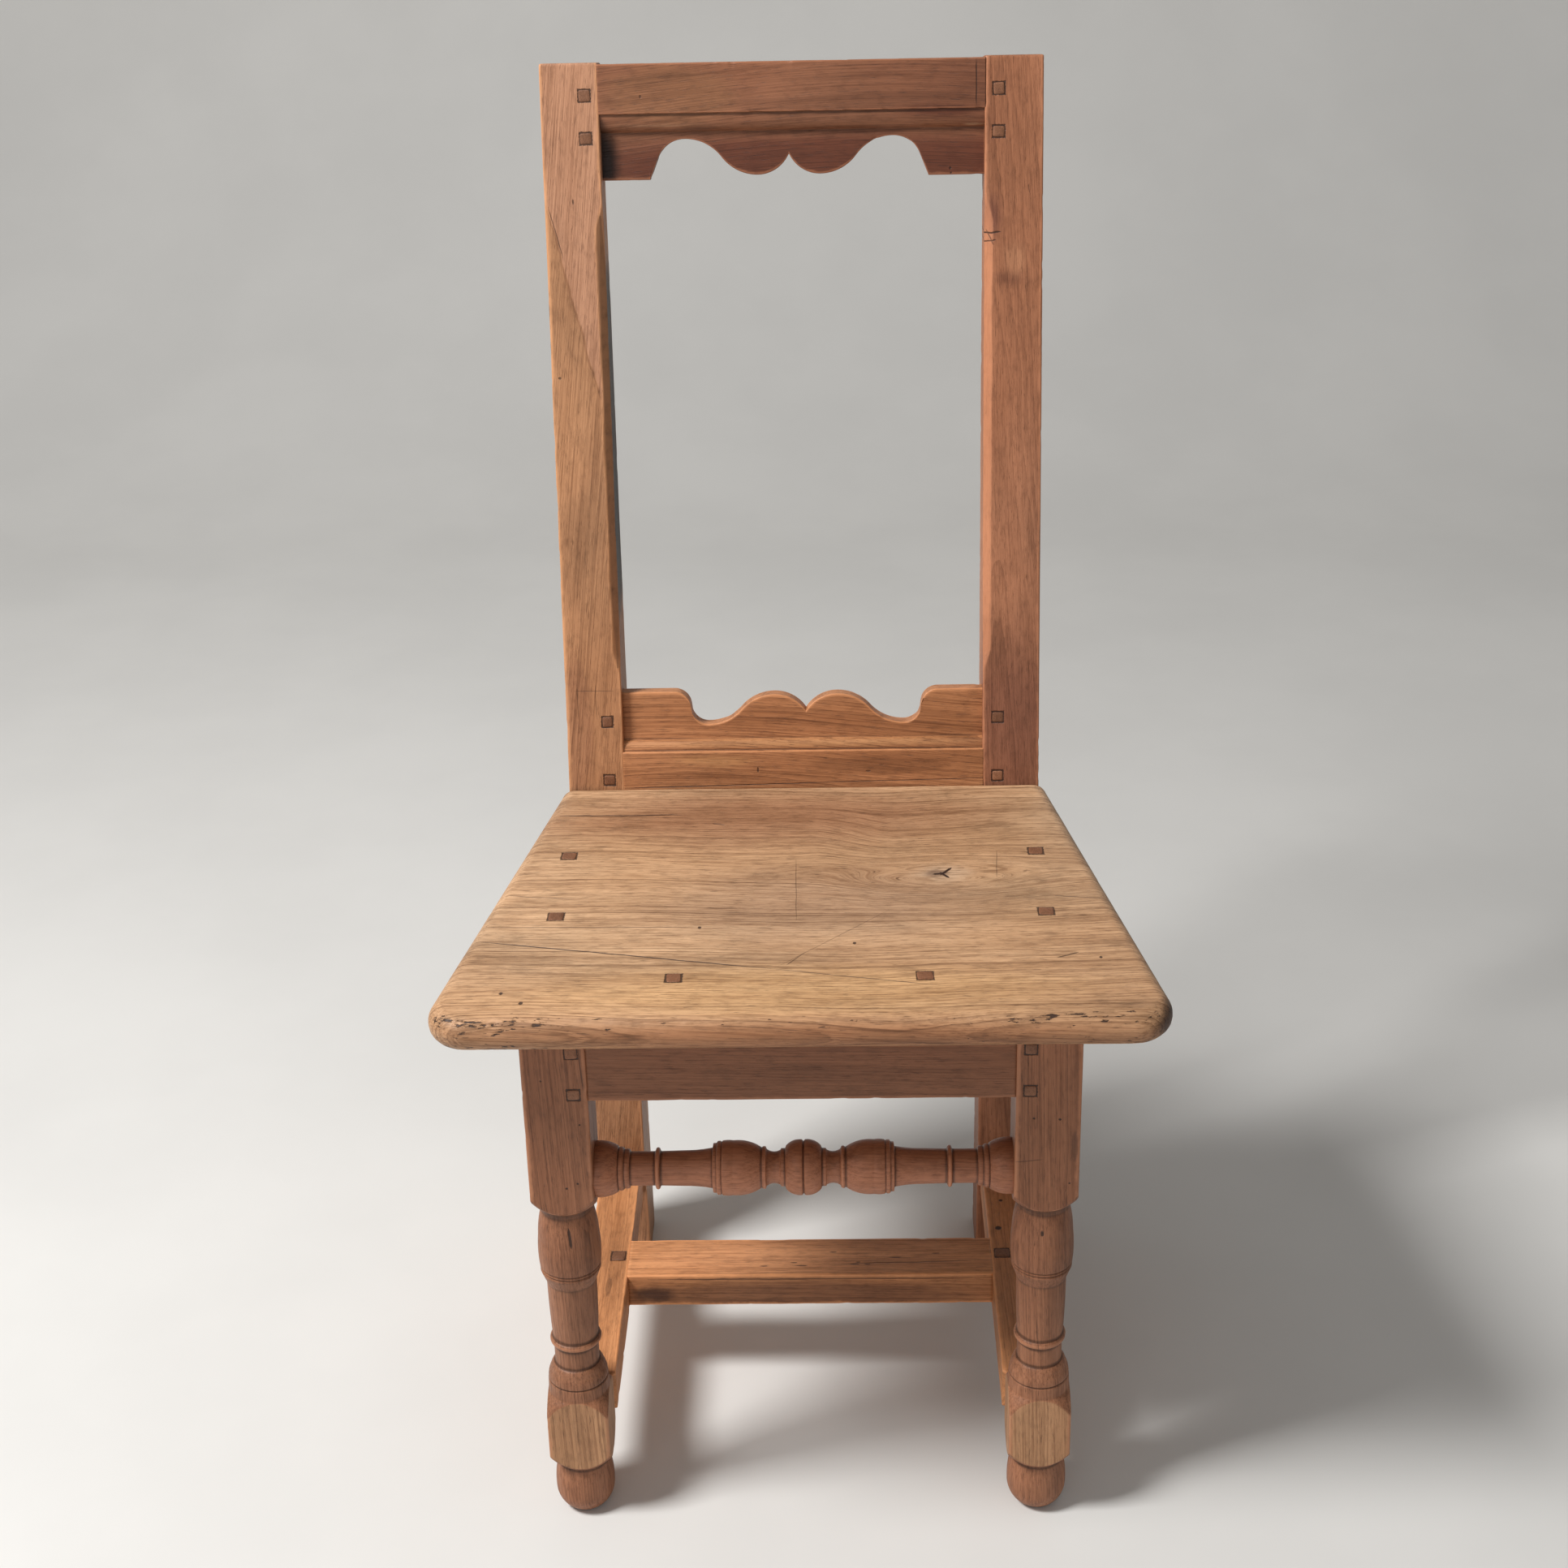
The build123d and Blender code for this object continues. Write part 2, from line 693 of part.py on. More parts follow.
def make_front_leg(side):
    """Leg turned from square stock, left square where the rails and stretchers join it."""
    corner_radius = leg_section / math.sqrt(2) - arris_softening
    face_radius = leg_section / 2 - turned_inset
    axis_plane = Plane(
        origin=(side * leg_axis_x, leg_axis_y, 0), x_dir=(1, 0, 0), z_dir=(0, -1, 0)
    )
    with BuildPart() as leg:
        with BuildSketch(axis_plane):
            with BuildLine():
                turned_curve((foot_radius, foot_swell), (foot_flat_radius, 0), (0, -1))
                base_top = base_bottom + base_height
                foot = Polyline(
                    (foot_radius, foot_swell),
                    (foot_radius, foot_swell + foot_straight),
                    (foot_neck_radius, foot_height),
                    (face_radius, foot_height + foot_fillet),
                    (corner_radius, lower_block_foot),
                    (corner_radius, lower_block_top),
                    (face_radius, base_bottom),
                    (face_radius, base_top),
                )
                moulding_end = (base_moulding_radius, base_top + base_moulding)
                turned_curve(foot @ 1, moulding_end, (0, 1))
                neck_top = moulding_end[1] + neck_height
                neck = Polyline(
                    moulding_end,
                    (neck_radius, moulding_end[1]),
                    (neck_radius, neck_top),
                    (column_radius, neck_top),
                    (bead_radius, neck_top + bead_height / 2),
                    (column_radius, neck_top + bead_height),
                    (column_radius, neck_top + bead_height + column_height),
                )
                vase_foot = (neck @ 1).Y + bevel_height
                belly = Polyline(
                    neck @ 1,
                    (face_radius, vase_foot),
                    (face_radius, vase_foot + vase_belly_height),
                )
                waist = (vase_waist_radius, vase_foot + vase_height)
                turned_curve(belly @ 1, waist, (0, 1))
                Polyline(
                    waist,
                    (face_radius, upper_block_apex),
                    (corner_radius, upper_block_foot),
                    (corner_radius, rail_top),
                    (0, rail_top),
                    (0, 0),
                    (foot_flat_radius, 0),
                )
            make_face()
        revolve(axis=Axis((side * leg_axis_x, leg_axis_y, 0), (0, 0, 1)))
        square_low = (side * leg_inner_x, leg_front_y, 0)
        square_high = (side * leg_outer_x, leg_back_y, rail_top)
        block(square_low, square_high, mode=Mode.INTERSECT)

        cut_mortise(on_side(side, front_rail_tenon), 0)
        cut_mortise(on_side(side, side_rail_front_tenon), 1)
        cut_mortise(on_side(side, side_stretcher_front_tenon), 1)
        with BuildSketch(Plane.YZ.offset(side * leg_inner_x)):
            with Locations((leg_axis_y, stretcher_z)):
                Circle(stretcher_tenon_radius + mortise_clearance)
        extrude(amount=side * (stretcher_tenon_length + mortise_end_gap), mode=Mode.SUBTRACT)
        cut_peg_holes(front_rail_peg_places(side), rail_peg_section, front_rail_peg_depth)
        cut_peg_holes(side_rail_front_peg_places(side), rail_peg_section, side_rail_front_peg_depth)
        stretcher_peg = [side_stretcher_front_peg_place(side)]
        cut_peg_holes(stretcher_peg, rail_peg_section, front_stretcher_peg_depth)
    return leg


# ------------------------------------------------------------------ seat rails
def make_front_seat_rail():
    """Rail between the front legs, with a rounded lower front edge."""
    with BuildPart() as rail:
        block(
            (-leg_inner_x, front_rail_y, rail_bottom),
            (leg_inner_x, front_rail_y + front_rail_thickness, rail_top),
        )
        lower_front = rail.edges().filter_by(Axis.X).group_by(Axis.Z)[0].sort_by(Axis.Y)[0]
        fillet(lower_front, radius=front_rail_bead)
        for side in (-1, 1):
            block(*on_side(side, front_rail_tenon))
            cut_peg_holes(front_rail_peg_places(side), rail_peg_section, front_rail_peg_depth)
            cut_peg_holes([front_seat_peg_place(side)], seat_peg_section, seat_peg_depth)
    return rail


def make_side_seat_rail(side):
    """Rail from a front leg to a back post."""
    low = (side * side_rail_inner_x, leg_back_y, rail_bottom)
    high = (side * side_rail_outer_x, post_front_y, rail_top)
    with BuildPart() as rail:
        block(low, high)
        block(*on_side(side, side_rail_front_tenon))
        block(*on_side(side, side_rail_rear_tenon))
        cut_peg_holes(side_rail_front_peg_places(side), rail_peg_section, side_rail_front_peg_depth)
        cut_peg_holes(side_rail_rear_peg_places(side), rail_peg_section, side_rail_rear_peg_depth)
        cut_peg_holes(side_seat_peg_places(side), seat_peg_section, seat_peg_depth)
    return rail


def make_rear_seat_rail():
    """Rail between the back posts, under the lower back rail."""
    with BuildPart() as rail:
        block(
            (-post_inner_x, rear_rail_y, rail_bottom),
            (post_inner_x, rear_rail_y + rear_rail_thickness, rail_top),
        )
        for side in (-1, 1):
            block(*on_side(side, rear_rail_tenon))
            cut_peg_holes(rear_rail_peg_places(side), rail_peg_section, rear_rail_peg_depth)
    return rail


# ------------------------------------------------------------------ turned front stretcher
def make_turned_stretcher():
    """Stretcher turned with a ball, two barrels, two rings and a cup at each leg."""
    axis_plane = Plane(origin=(0, leg_axis_y, stretcher_z), x_dir=(1, 0, 0), z_dir=(0, -1, 0))
    tenon_end = leg_inner_x + stretcher_tenon_length
    cup_lip = leg_inner_x - cup_length
    step_end = cup_lip - step_length
    collar_end = step_end - collar_length
    ring_start = collar_end - end_shaft_length
    ring_end = ring_start - ring_length
    barrel_step = barrel_start - barrel_collar_length
    disc_end = barrel_end - disc_length
    cove_middle = (cove_end + disc_end) / 2
    with BuildPart() as stretcher:
        with BuildSketch(axis_plane):
            with BuildLine():
                ball_end = (ball_half_length, ball_end_radius)
                turned_curve((ball_flat, ball_radius), ball_end, (1, 0))
                cove = Polyline(
                    ball_end,
                    (cove_end - cove_fillet_length, cove_fillet_radius),
                    (cove_end, cove_fillet_radius),
                    (cove_middle - cove_flat / 2, cove_radius),
                    (cove_middle + cove_flat / 2, cove_radius),
                    (disc_end, disc_radius),
                    (barrel_end, disc_radius),
                    (barrel_end, barrel_end_radius),
                )
                swell = (barrel_swell, barrel_radius)
                turned_curve(swell, cove @ 1, (-1, 0))
                Polyline(
                    swell,
                    (barrel_step, barrel_radius),
                    (barrel_step, barrel_step_radius),
                    (barrel_start, barrel_step_radius),
                    (barrel_start, shaft_flare_radius),
                    (barrel_start + shaft_flare_length, shaft_radius),
                    (ring_end, shaft_radius),
                    (ring_end, ring_radius),
                    (ring_start, ring_radius),
                    (ring_start, shaft_radius),
                    (collar_end, shaft_radius),
                    (collar_end, collar_radius),
                    (step_end, collar_radius),
                    (step_end, step_radius),
                    (cup_lip, step_radius),
                    (leg_inner_x, cup_radius),
                    (leg_inner_x, stretcher_tenon_radius),
                    (tenon_end, stretcher_tenon_radius),
                    (tenon_end, 0),
                    (0, 0),
                    (0, ball_radius),
                    (ball_flat, ball_radius),
                )
            make_face()
            mirror(about=Plane.YZ)
        revolve(axis=Axis((0, leg_axis_y, stretcher_z), (1, 0, 0)))
    return stretcher


# ------------------------------------------------------------------ low stretchers
def make_side_stretcher(side):
    """Low stretcher from a front leg to a back post, with its inner top arris taken off."""
    with BuildPart() as stretcher:
        with BuildSketch(Plane.YZ.offset(side * side_stretcher_inner_x)):
            with BuildLine():
                Polyline(
                    (leg_back_y, low_stretcher_z),
                    (rear_shoulder_y, low_stretcher_z),
                    (post_front_y + kicked(low_stretcher_top), low_stretcher_top),
                    (leg_back_y, low_stretcher_top),
                    close=True,
                )
            make_face()
        extrude(amount=side * side_stretcher_width)
        inner_x = side * side_stretcher_inner_x
        stopped_chamfer(
            (inner_x, leg_back_y - side_stretcher_chamfer_runout, low_stretcher_top),
            (inner_x, cross_front_y, low_stretcher_top),
            Vector(side, 0, -1),
            side_stretcher_chamfer,
            side_stretcher_chamfer_runout,
        )
        block(*on_side(side, side_stretcher_front_tenon))
        block(*on_side(side, side_stretcher_rear_tenon))
        cut_mortise(on_side(side, cross_tenon), 0)
        cut_peg_holes([cross_peg_place(side)], cross_peg_section, cross_peg_depth)
        front_peg = [side_stretcher_front_peg_place(side)]
        cut_peg_holes(front_peg, rail_peg_section, front_stretcher_peg_depth)
        rear_peg = [side_stretcher_rear_peg_place(side)]
        cut_peg_holes(rear_peg, rail_peg_section, rear_stretcher_peg_depth)
    return stretcher


def make_cross_stretcher():
    """Low stretcher between the side stretchers, its top flush with theirs."""
    with BuildPart() as stretcher:
        block(
            (-side_stretcher_inner_x, cross_front_y, cross_foot_z),
            (side_stretcher_inner_x, cross_front_y + cross_stretcher_width, low_stretcher_top),
        )
        top_front = stretcher.edges().filter_by(Axis.X).group_by(Axis.Z)[-1].sort_by(Axis.Y)[0]
        chamfer(top_front, cross_stretcher_bevel)
        for side in (-1, 1):
            block(*on_side(side, cross_tenon))
            cut_peg_holes([cross_peg_place(side)], cross_peg_section, cross_peg_depth)
    return stretcher


# ------------------------------------------------------------------ pegs
def on_both_sides(places):
    """The places of a peg list on the left, then on the right."""
    return places(-1) + places(1)


def seat_peg_places(side):
    return side_seat_peg_places(side) + [front_seat_peg_place(side)]


def side_stretcher_front_pegs(side):
    return [side_stretcher_front_peg_place(side)]


def side_stretcher_rear_pegs(side):
    return [side_stretcher_rear_peg_place(side)]


def cross_stretcher_pegs(side):
    return [cross_peg_place(side)]


peg_groups = {
    "crest_rail_pegs": (crest_peg_places, back_peg_section, crest_peg_depth),
    "back_rail_pegs": (back_rail_peg_places, back_peg_section, back_rail_peg_depth),
    "front_rail_pegs": (front_rail_peg_places, rail_peg_section, front_rail_peg_depth),
    "side_rail_front_pegs": (
        side_rail_front_peg_places,
        rail_peg_section,
        side_rail_front_peg_depth,
    ),
    "side_rail_rear_pegs": (side_rail_rear_peg_places, rail_peg_section, side_rail_rear_peg_depth),
    "rear_rail_pegs": (rear_rail_peg_places, rail_peg_section, rear_rail_peg_depth),
    "seat_pegs": (seat_peg_places, seat_peg_section, seat_peg_depth),
    "side_stretcher_front_pegs": (
        side_stretcher_front_pegs,
        rail_peg_section,
        front_stretcher_peg_depth,
    ),
    "side_stretcher_rear_pegs": (
        side_stretcher_rear_pegs,
        rail_peg_section,
        rear_stretcher_peg_depth,
    ),
    "cross_stretcher_pegs": (cross_stretcher_pegs, cross_peg_section, cross_peg_depth),
}

# ------------------------------------------------------------------ all the pieces
pieces = {
    "crest_rail": make_crest_rail(),
    "lower_back_rail": make_lower_back_rail(),
    "seat_board": make_seat_board(),
    "front_seat_rail": make_front_seat_rail(),
    "rear_seat_rail": make_rear_seat_rail(),
    "front_turned_stretcher": make_turned_stretcher(),
    "cross_stretcher": make_cross_stretcher(),
}
for side, word in ((-1, "left"), (1, "right")):
    pieces[word + "_back_post"] = make_back_post(side)
    pieces[word + "_front_leg"] = make_front_leg(side)
    pieces[word + "_side_seat_rail"] = make_side_seat_rail(side)
    pieces[word + "_side_stretcher"] = make_side_stretcher(side)
for name, (places, section, depth) in peg_groups.items():
    pieces[name] = make_pegs(on_both_sides(places), section, depth)

for name, piece in pieces.items():
    piece.part.label = name
    export_step(piece.part, "parts/" + name + ".step")
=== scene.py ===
import math

import bpy
import numpy as np
from bpy.props import FloatProperty, FloatVectorProperty, IntProperty, PointerProperty
from mathutils import Matrix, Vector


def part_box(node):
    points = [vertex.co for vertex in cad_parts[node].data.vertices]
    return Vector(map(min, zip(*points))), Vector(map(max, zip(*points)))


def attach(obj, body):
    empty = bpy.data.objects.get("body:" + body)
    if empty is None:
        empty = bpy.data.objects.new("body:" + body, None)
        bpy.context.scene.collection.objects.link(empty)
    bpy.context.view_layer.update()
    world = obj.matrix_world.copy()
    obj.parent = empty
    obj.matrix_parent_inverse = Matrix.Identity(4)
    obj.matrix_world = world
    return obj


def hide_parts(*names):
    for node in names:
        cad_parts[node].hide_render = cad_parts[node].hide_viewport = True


# A joined side chair of waxed fruitwood. Left and right are as seen from the front.
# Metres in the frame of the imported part: +X right, +Y back, +Z up, origin on the floor.

bl_info = {
    "name": "Joined Side Chair",
    "version": (1, 0, 0),
    "blender": (4, 5, 0),
    "location": "View3D > Sidebar > Chair",
    "description": "Worn fruitwood pieces for a joined side chair, and a plain studio for it",
    "category": "Object",
}

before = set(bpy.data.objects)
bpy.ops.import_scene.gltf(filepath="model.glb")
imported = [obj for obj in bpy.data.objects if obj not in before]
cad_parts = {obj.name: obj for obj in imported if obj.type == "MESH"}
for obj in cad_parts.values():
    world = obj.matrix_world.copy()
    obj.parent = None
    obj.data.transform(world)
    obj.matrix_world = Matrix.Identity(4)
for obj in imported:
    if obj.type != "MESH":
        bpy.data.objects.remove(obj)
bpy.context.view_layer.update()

MM = 0.001
SIDES = (("left", -1), ("right", 1))
TO_FRONT = np.array([0.0, -1, 0])
UPWARDS = np.array([0.0, 0, 1])
TO_BOTH_SIDES = (np.array([-1.0, 0, 0]), np.array([1.0, 0, 0]))


# ------- places from the frame
def node_box(name):
    """Lowest and highest corner of a node of the frame, as arrays."""
    low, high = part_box(name)
    return np.array(low), np.array(high)


chair_top = node_box("left_back_post")[1][2]
post_front_y = node_box("left_back_post")[0][1]
post_outer_x = node_box("right_back_post")[1][0]
post_inner_x = node_box("right_back_post")[0][0]
leg_low, leg_high = node_box("right_front_leg")
seat_low, seat_high = node_box("seat_board")
seat_top = seat_high[2]
rail_top = seat_low[2]
turned_low, turned_high = node_box("front_turned_stretcher")

# ------- sizes of the pieces
back_rake = math.radians(8.0)
bend_drop = 12 * MM  # of the bend in the posts, below the top of the seat
bend_height = seat_top - bend_drop
bend_reach = 9.8 * MM  # half the length of the bend in a post
kick_height = 130 * MM
foot_kick = 12 * MM
foot_depth = 50 * MM
post_depth = 54 * MM
post_top_depth = 28 * MM
post_top_narrowing = 1.3 * MM
post_chamfer = 4.2 * MM
post_chamfer_margin = 14 * MM
post_chamfer_runout = 22 * MM
post_end_bevel = 1.2 * MM
post_over_crest = 1 * MM

crest_height = 85 * MM
crest_band = 36.5 * MM
crest_moulding = 13.5 * MM
crest_thickness = 24 * MM
crest_recess = 10 * MM
crest_flat = 38.4 * MM
crest_arch = (77.9 * MM, 29.5 * MM)  # place across, rise above the foot of the rail
crest_shoulder_radius = 21.9 * MM
crest_shoulder_turn = math.radians(68)
crest_shift = -2.8 * MM  # of the scallops, off the middle of the rail
crest_lobe = (23.5 * MM, 2.5 * MM)
crest_cusp_rise = 17.5 * MM

low_rail_height = 89.5 * MM
low_rail_band = 42 * MM
low_rail_moulding = 8.5 * MM
low_rail_thickness = 21 * MM
low_rail_recess = 7 * MM
low_rail_flat = 38 * MM
low_rail_trough = (77.7 * MM, 27 * MM)  # place across, drop below the top of the rail
low_rail_lobe = (25 * MM, 3 * MM)
low_rail_cusp_drop = 16.7 * MM
low_rail_shift = 3.0 * MM
back_rail_overrun = 0.7 * MM  # into each post

seat_side_radius = 28 * MM
seat_back_radius = 5 * MM
seat_back_arris = 1.2 * MM
seat_nose = 12.6 * MM
seat_knot = (104.8 * MM, 166 * MM)  # across, back from the front of the legs
seat_front_half = 255.9 * MM
seat_back_half = 194.5 * MM

board_overrun = 0.8 * MM  # into each joint
stretcher_overrun = 5 * MM  # of the side stretchers, to the swept foot of the posts
board_pith = (30 * MM, 12 * MM)  # across and out, from the middle of a board
least_arris = 0.2 * MM
grain_apart = 0.37  # metres along the wood between the grains of two seeds

slope_up = np.array([0, math.sin(back_rake), math.cos(back_rake)])
slope_out = np.array([0, -math.cos(back_rake), math.sin(back_rake)])
slope_origin = np.array([0, post_front_y, bend_height])
crest_top_v = (chair_top - post_over_crest - bend_height) / math.cos(back_rake)
crest_band_v = crest_top_v - crest_band
crest_foot_v = crest_top_v - crest_height
leg_half = (leg_high[0] - leg_low[0]) / 2
between_blocks = 200 * MM  # a height between the two square blocks of a leg


# ------- settings
class ChairSizes(bpy.types.PropertyGroup):
    """Sizes of the wear on the wood."""

    arris: FloatProperty(
        name="Arris radius",
        description="Rounding of the sawn edges",
        default=1.0 * MM,
        min=0.1 * MM,
        unit="LENGTH",
    )
    wobble: FloatProperty(
        name="Plane marks",
        description="Depth of the slow unevenness left by hand planing",
        default=0.25 * MM,
        min=0.0,
        unit="LENGTH",
    )
    nicks: FloatProperty(
        name="Nicks",
        description="Depth of the small knocks along the edges",
        default=0.9 * MM,
        min=0.0,
        unit="LENGTH",
    )
    peg_turn: FloatProperty(
        name="Peg turn",
        description="Most that a peg is turned out of square",
        default=math.radians(4),
        subtype="ANGLE",
    )
    seed: IntProperty(
        name="Seed", description="Seed of the random wear", default=11, min=0
    )


def colour_property(label, words, default):
    """Colour of a finish, kept as a linear colour."""
    return FloatVectorProperty(
        name=label,
        description=words,
        subtype="COLOR",
        size=4,
        min=0.0,
        max=1.0,
        default=default,
    )


def paint(red, green, blue):
    """Linear colour, with its alpha, of a colour given in screen values up to 255."""
    screen = np.array([red, green, blue]) / 255
    linear = np.where(screen <= 0.04045, screen / 12.92, ((screen + 0.055) / 1.055) ** 2.4)
    return (*linear.tolist(), 1.0)


class ChairColours(bpy.types.PropertyGroup):
    """Colours of the waxed wood, one for each group of pieces."""

    left_post: colour_property("Left post", "Wood of the left back post", paint(182, 132, 94))
    # the right post's wood, darker than the left partly as painted shade, since the light falls
    # off to the right
    right_post_wood_and_shade: colour_property("Right post", "Wood of the right back post", paint(170, 115, 84))
    crest: colour_property("Crest rail", "Wood of the crest rail", paint(143, 94, 67))
    low_rail: colour_property("Lower back rail", "Wood of this rail", paint(188, 130, 88))
    seat: colour_property("Seat", "Wood of the seat board", paint(208, 168, 130))
    seat_rails: colour_property("Seat rails", "Wood under the seat", paint(146, 98, 70))
    legs: colour_property("Legs", "Wood of the turned legs", paint(160, 109, 79))
    bare: colour_property("Leg faces", "Worn flat faces of the legs", paint(200, 152, 110))
    turned: colour_property("Turned stretcher", "Wood of this piece", paint(172, 114, 84))
    stretchers: colour_property("Low stretchers", "Wood near the floor", paint(208, 144, 96))
    pegs: colour_property("Pegs", "Wood of the square pegs", paint(142, 97, 70))
    grime: colour_property("Grime", "Dirt and old wax in hollows", paint(58, 36, 26))


class StudioSettings(bpy.types.PropertyGroup):
    """Floor, light and camera round the chair."""

    floor: colour_property("Floor", "Paper sweep under the chair", paint(224, 222, 218))
    key: FloatProperty(
        name="Key light", description="Power of the large lamp", default=90.0, min=0, unit="POWER"
    )
    fill: FloatProperty(
        name="Sky", description="Strength of the even light all round", default=0.26, min=0
    )
    lens: FloatProperty(
        name="Lens", description="Focal length in millimetres on a 36 mm sensor", default=54.19
    )


# ------- random surfaces
LATTICE = np.random.default_rng(5).uniform(-1, 1, 4096)
LATTICE_KEYS = np.array([73856093, 19349663, 83492791])


def smooth_noise(points, size, seed):
    """Random values from -1 to 1 on a cubic lattice of the given size, blended by smooth steps."""
    place = points / size + 31.7 * seed
    cell = np.floor(place).astype(np.int64)
    part = place - cell
    part = part * part * (3 - 2 * part)
    total = np.zeros(points.shape[:-1])
    for corner in np.ndindex(2, 2, 2):
        key = (cell + corner) @ LATTICE_KEYS
        weight = np.prod(np.where(np.array(corner) == 1, part, 1 - part), axis=-1)
        total += weight * LATTICE[key % len(LATTICE)]
    return total


def ease(value, start, end):
    """Smooth step from 0 at start to 1 at end."""
    part = np.clip((value - start) / (end - start), 0, 1)
    return part * part * (3 - 2 * part)


def inner_steps(count):
    """Places between 0 and 1, set closer near both ends, which are left out."""
    return (1 - np.cos(np.linspace(0, math.pi, count)[1:-1])) / 2


# ------- surfaces
def outward_normals(rings):
    """Unit normals of a grid of rings: its direction round each ring crossed with that along."""
    around = np.roll(rings, -1, axis=1) - np.roll(rings, 1, axis=1)
    along = np.gradient(rings, axis=0)
    normal = np.cross(around, along)
    length = np.linalg.norm(normal, axis=-1, keepdims=True)
    middle = rings.mean(axis=1, keepdims=True)
    way = np.sign(np.sum(normal * (rings - middle)))
    return way * normal / np.maximum(length, 1e-12)


PLANE_MARK = 45 * MM
# kinds of bite out of the wood: (size, how much of the noise is left out, step of the seed)
BITES = {
    "knock": (7 * MM, 0.38, 3),
    "dent": (14 * MM, 0.45, 5),
    "pit": (3.2 * MM, 0.35, 7),
}


def bites(points, kind, seed):
    """Noise over a threshold: how deep the bites of one kind are, from 0 up."""
    size, left_out, step = BITES[kind]
    return np.maximum(smooth_noise(points, size, seed + step) - left_out, 0)


def wear_down(rings, edges, sizes, seed, pits=0.0):
    """Lower a surface along its normal by plane marks, nicks where edges is high, and pits."""
    slow = 0.5 + 0.5 * smooth_noise(rings * [1, 1, 0.6], PLANE_MARK, seed)
    nicked = bites(rings, "knock", seed) + 0.8 * bites(rings, "dent", seed)
    proud = np.maximum(edges, 0)
    depth = sizes.wobble * slow + proud * sizes.nicks * nicked + pits * bites(rings, "pit", seed)
    return rings - outward_normals(rings) * depth[..., None]


def fibre_at(along, across, out, seed):
    """Fibre coordinates of the wood: places along it, and across and out from its pith."""
    return np.stack([along + seed * grain_apart, across, out], axis=-1)


def with_hubs(rings, fibre, edges):
    """Surface of a piece: (rings, first hub, last hub, fibre, edges), hubs amid the end rings."""
    return rings, rings[0].mean(axis=0), rings[-1].mean(axis=0), fibre, edges


def ring_faces(rows, columns):
    """Quads that join ring to ring, and triangles that join the end rings to their hubs.

    The corners are numbered ring by ring, and the two hubs come after them.
    """
    grid = np.arange(rows * columns).reshape(rows, columns)
    turned = np.roll(grid, -1, axis=1)
    quads = np.stack([grid[:-1], turned[:-1], turned[1:], grid[1:]], axis=-1).reshape(-1, 4)
    hub = np.full(columns, rows * columns)
    low_fan = np.stack([turned[0], grid[0], hub], axis=-1)
    high_fan = np.stack([grid[-1], turned[-1], hub + 1], axis=-1)
    return quads, np.concatenate([low_fan, high_fan])


def closed_surface(rings, first, last, fibre, edges):
    """Corners, fibre, edge values, quads and triangles of a stack of rings closed by its hubs.

    The faces are turned over where the volume that they enclose is negative.
    """
    quads, fans = ring_faces(*rings.shape[:2])
    corners = np.concatenate([rings.reshape(-1, 3), [first, last]])
    triangles = np.concatenate([quads[:, :3], quads[:, [0, 2, 3]], fans])
    a, b, c = (corners[triangles[:, i]] for i in range(3))
    if np.sum(a * np.cross(b, c)) < 0:
        quads, fans = quads[:, ::-1], fans[:, ::-1]
    fibres = [fibre.reshape(-1, 3), [fibre[0].mean(axis=0), fibre[-1].mean(axis=0)]]
    return corners, np.concatenate(fibres), np.append(edges, [0, 0]), quads, fans


def smooth_mesh(name, points, quads, triangles):
    """Mesh of quads and triangles, shaded smooth, filled from whole arrays."""
    mesh = bpy.data.meshes.new(name)
    mesh.vertices.add(len(points))
    mesh.vertices.foreach_set("co", points.astype(np.float32).ravel())
    mesh.loops.add(quads.size + triangles.size)
    mesh.loops.foreach_set("vertex_index", np.concatenate([quads.ravel(), triangles.ravel()]))
    counts = np.concatenate([np.full(len(quads), 4), np.full(len(triangles), 3)])
    mesh.polygons.add(len(counts))
    mesh.polygons.foreach_set("loop_start", np.concatenate([[0], np.cumsum(counts)[:-1]]))
    mesh.polygons.foreach_set("use_smooth", np.ones(len(counts), dtype=bool))
    mesh.update(calc_edges=True)
    return mesh


def point_attribute(mesh, name, values):
    """Attribute that holds a number, or a vector, for each corner of a mesh."""
    kind, field = ("FLOAT", "value") if values.ndim == 1 else ("FLOAT_VECTOR", "vector")
    layer = mesh.attributes.new(name, kind, "POINT")
    layer.data.foreach_set(field, values.astype(np.float32).ravel())


def make_piece(name, surfaces, material, nodes, mask=None):
    """One object of closed surfaces. A mask goes with a piece of one surface, ring by ring."""
    columns = zip(*(closed_surface(*surface) for surface in surfaces))
    corners, fibres, edges, quads, triangles = map(list, columns)
    starts = np.cumsum([0] + [len(part) for part in corners])
    for k, start in enumerate(starts[:-1]):
        quads[k] = quads[k] + start
        triangles[k] = triangles[k] + start
    faces = np.concatenate(quads), np.concatenate(triangles)
    mesh = smooth_mesh(name, np.concatenate(corners), *faces)
    point_attribute(mesh, "fibre", np.concatenate(fibres))
    point_attribute(mesh, "edge", np.concatenate(edges))
    if mask is not None:
        point_attribute(mesh, "mask", np.append(mask, [0, 0]))
    mesh.materials.append(material)
    piece = bpy.data.objects.new(name, mesh)
    bpy.context.scene.collection.objects.link(piece)
    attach(piece, "root")
    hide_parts(*nodes)


def arris_radii(route, sizes, seed, mean, spread, patch):
    """Radius of each of the four arrises along a route, drifting slowly in patches."""
    apart = np.arange(4)[None, :, None] * 0.21
    drift = smooth_noise(route[:, None] + apart, patch, seed)
    return sizes.arris * (mean + spread * drift) + least_arris


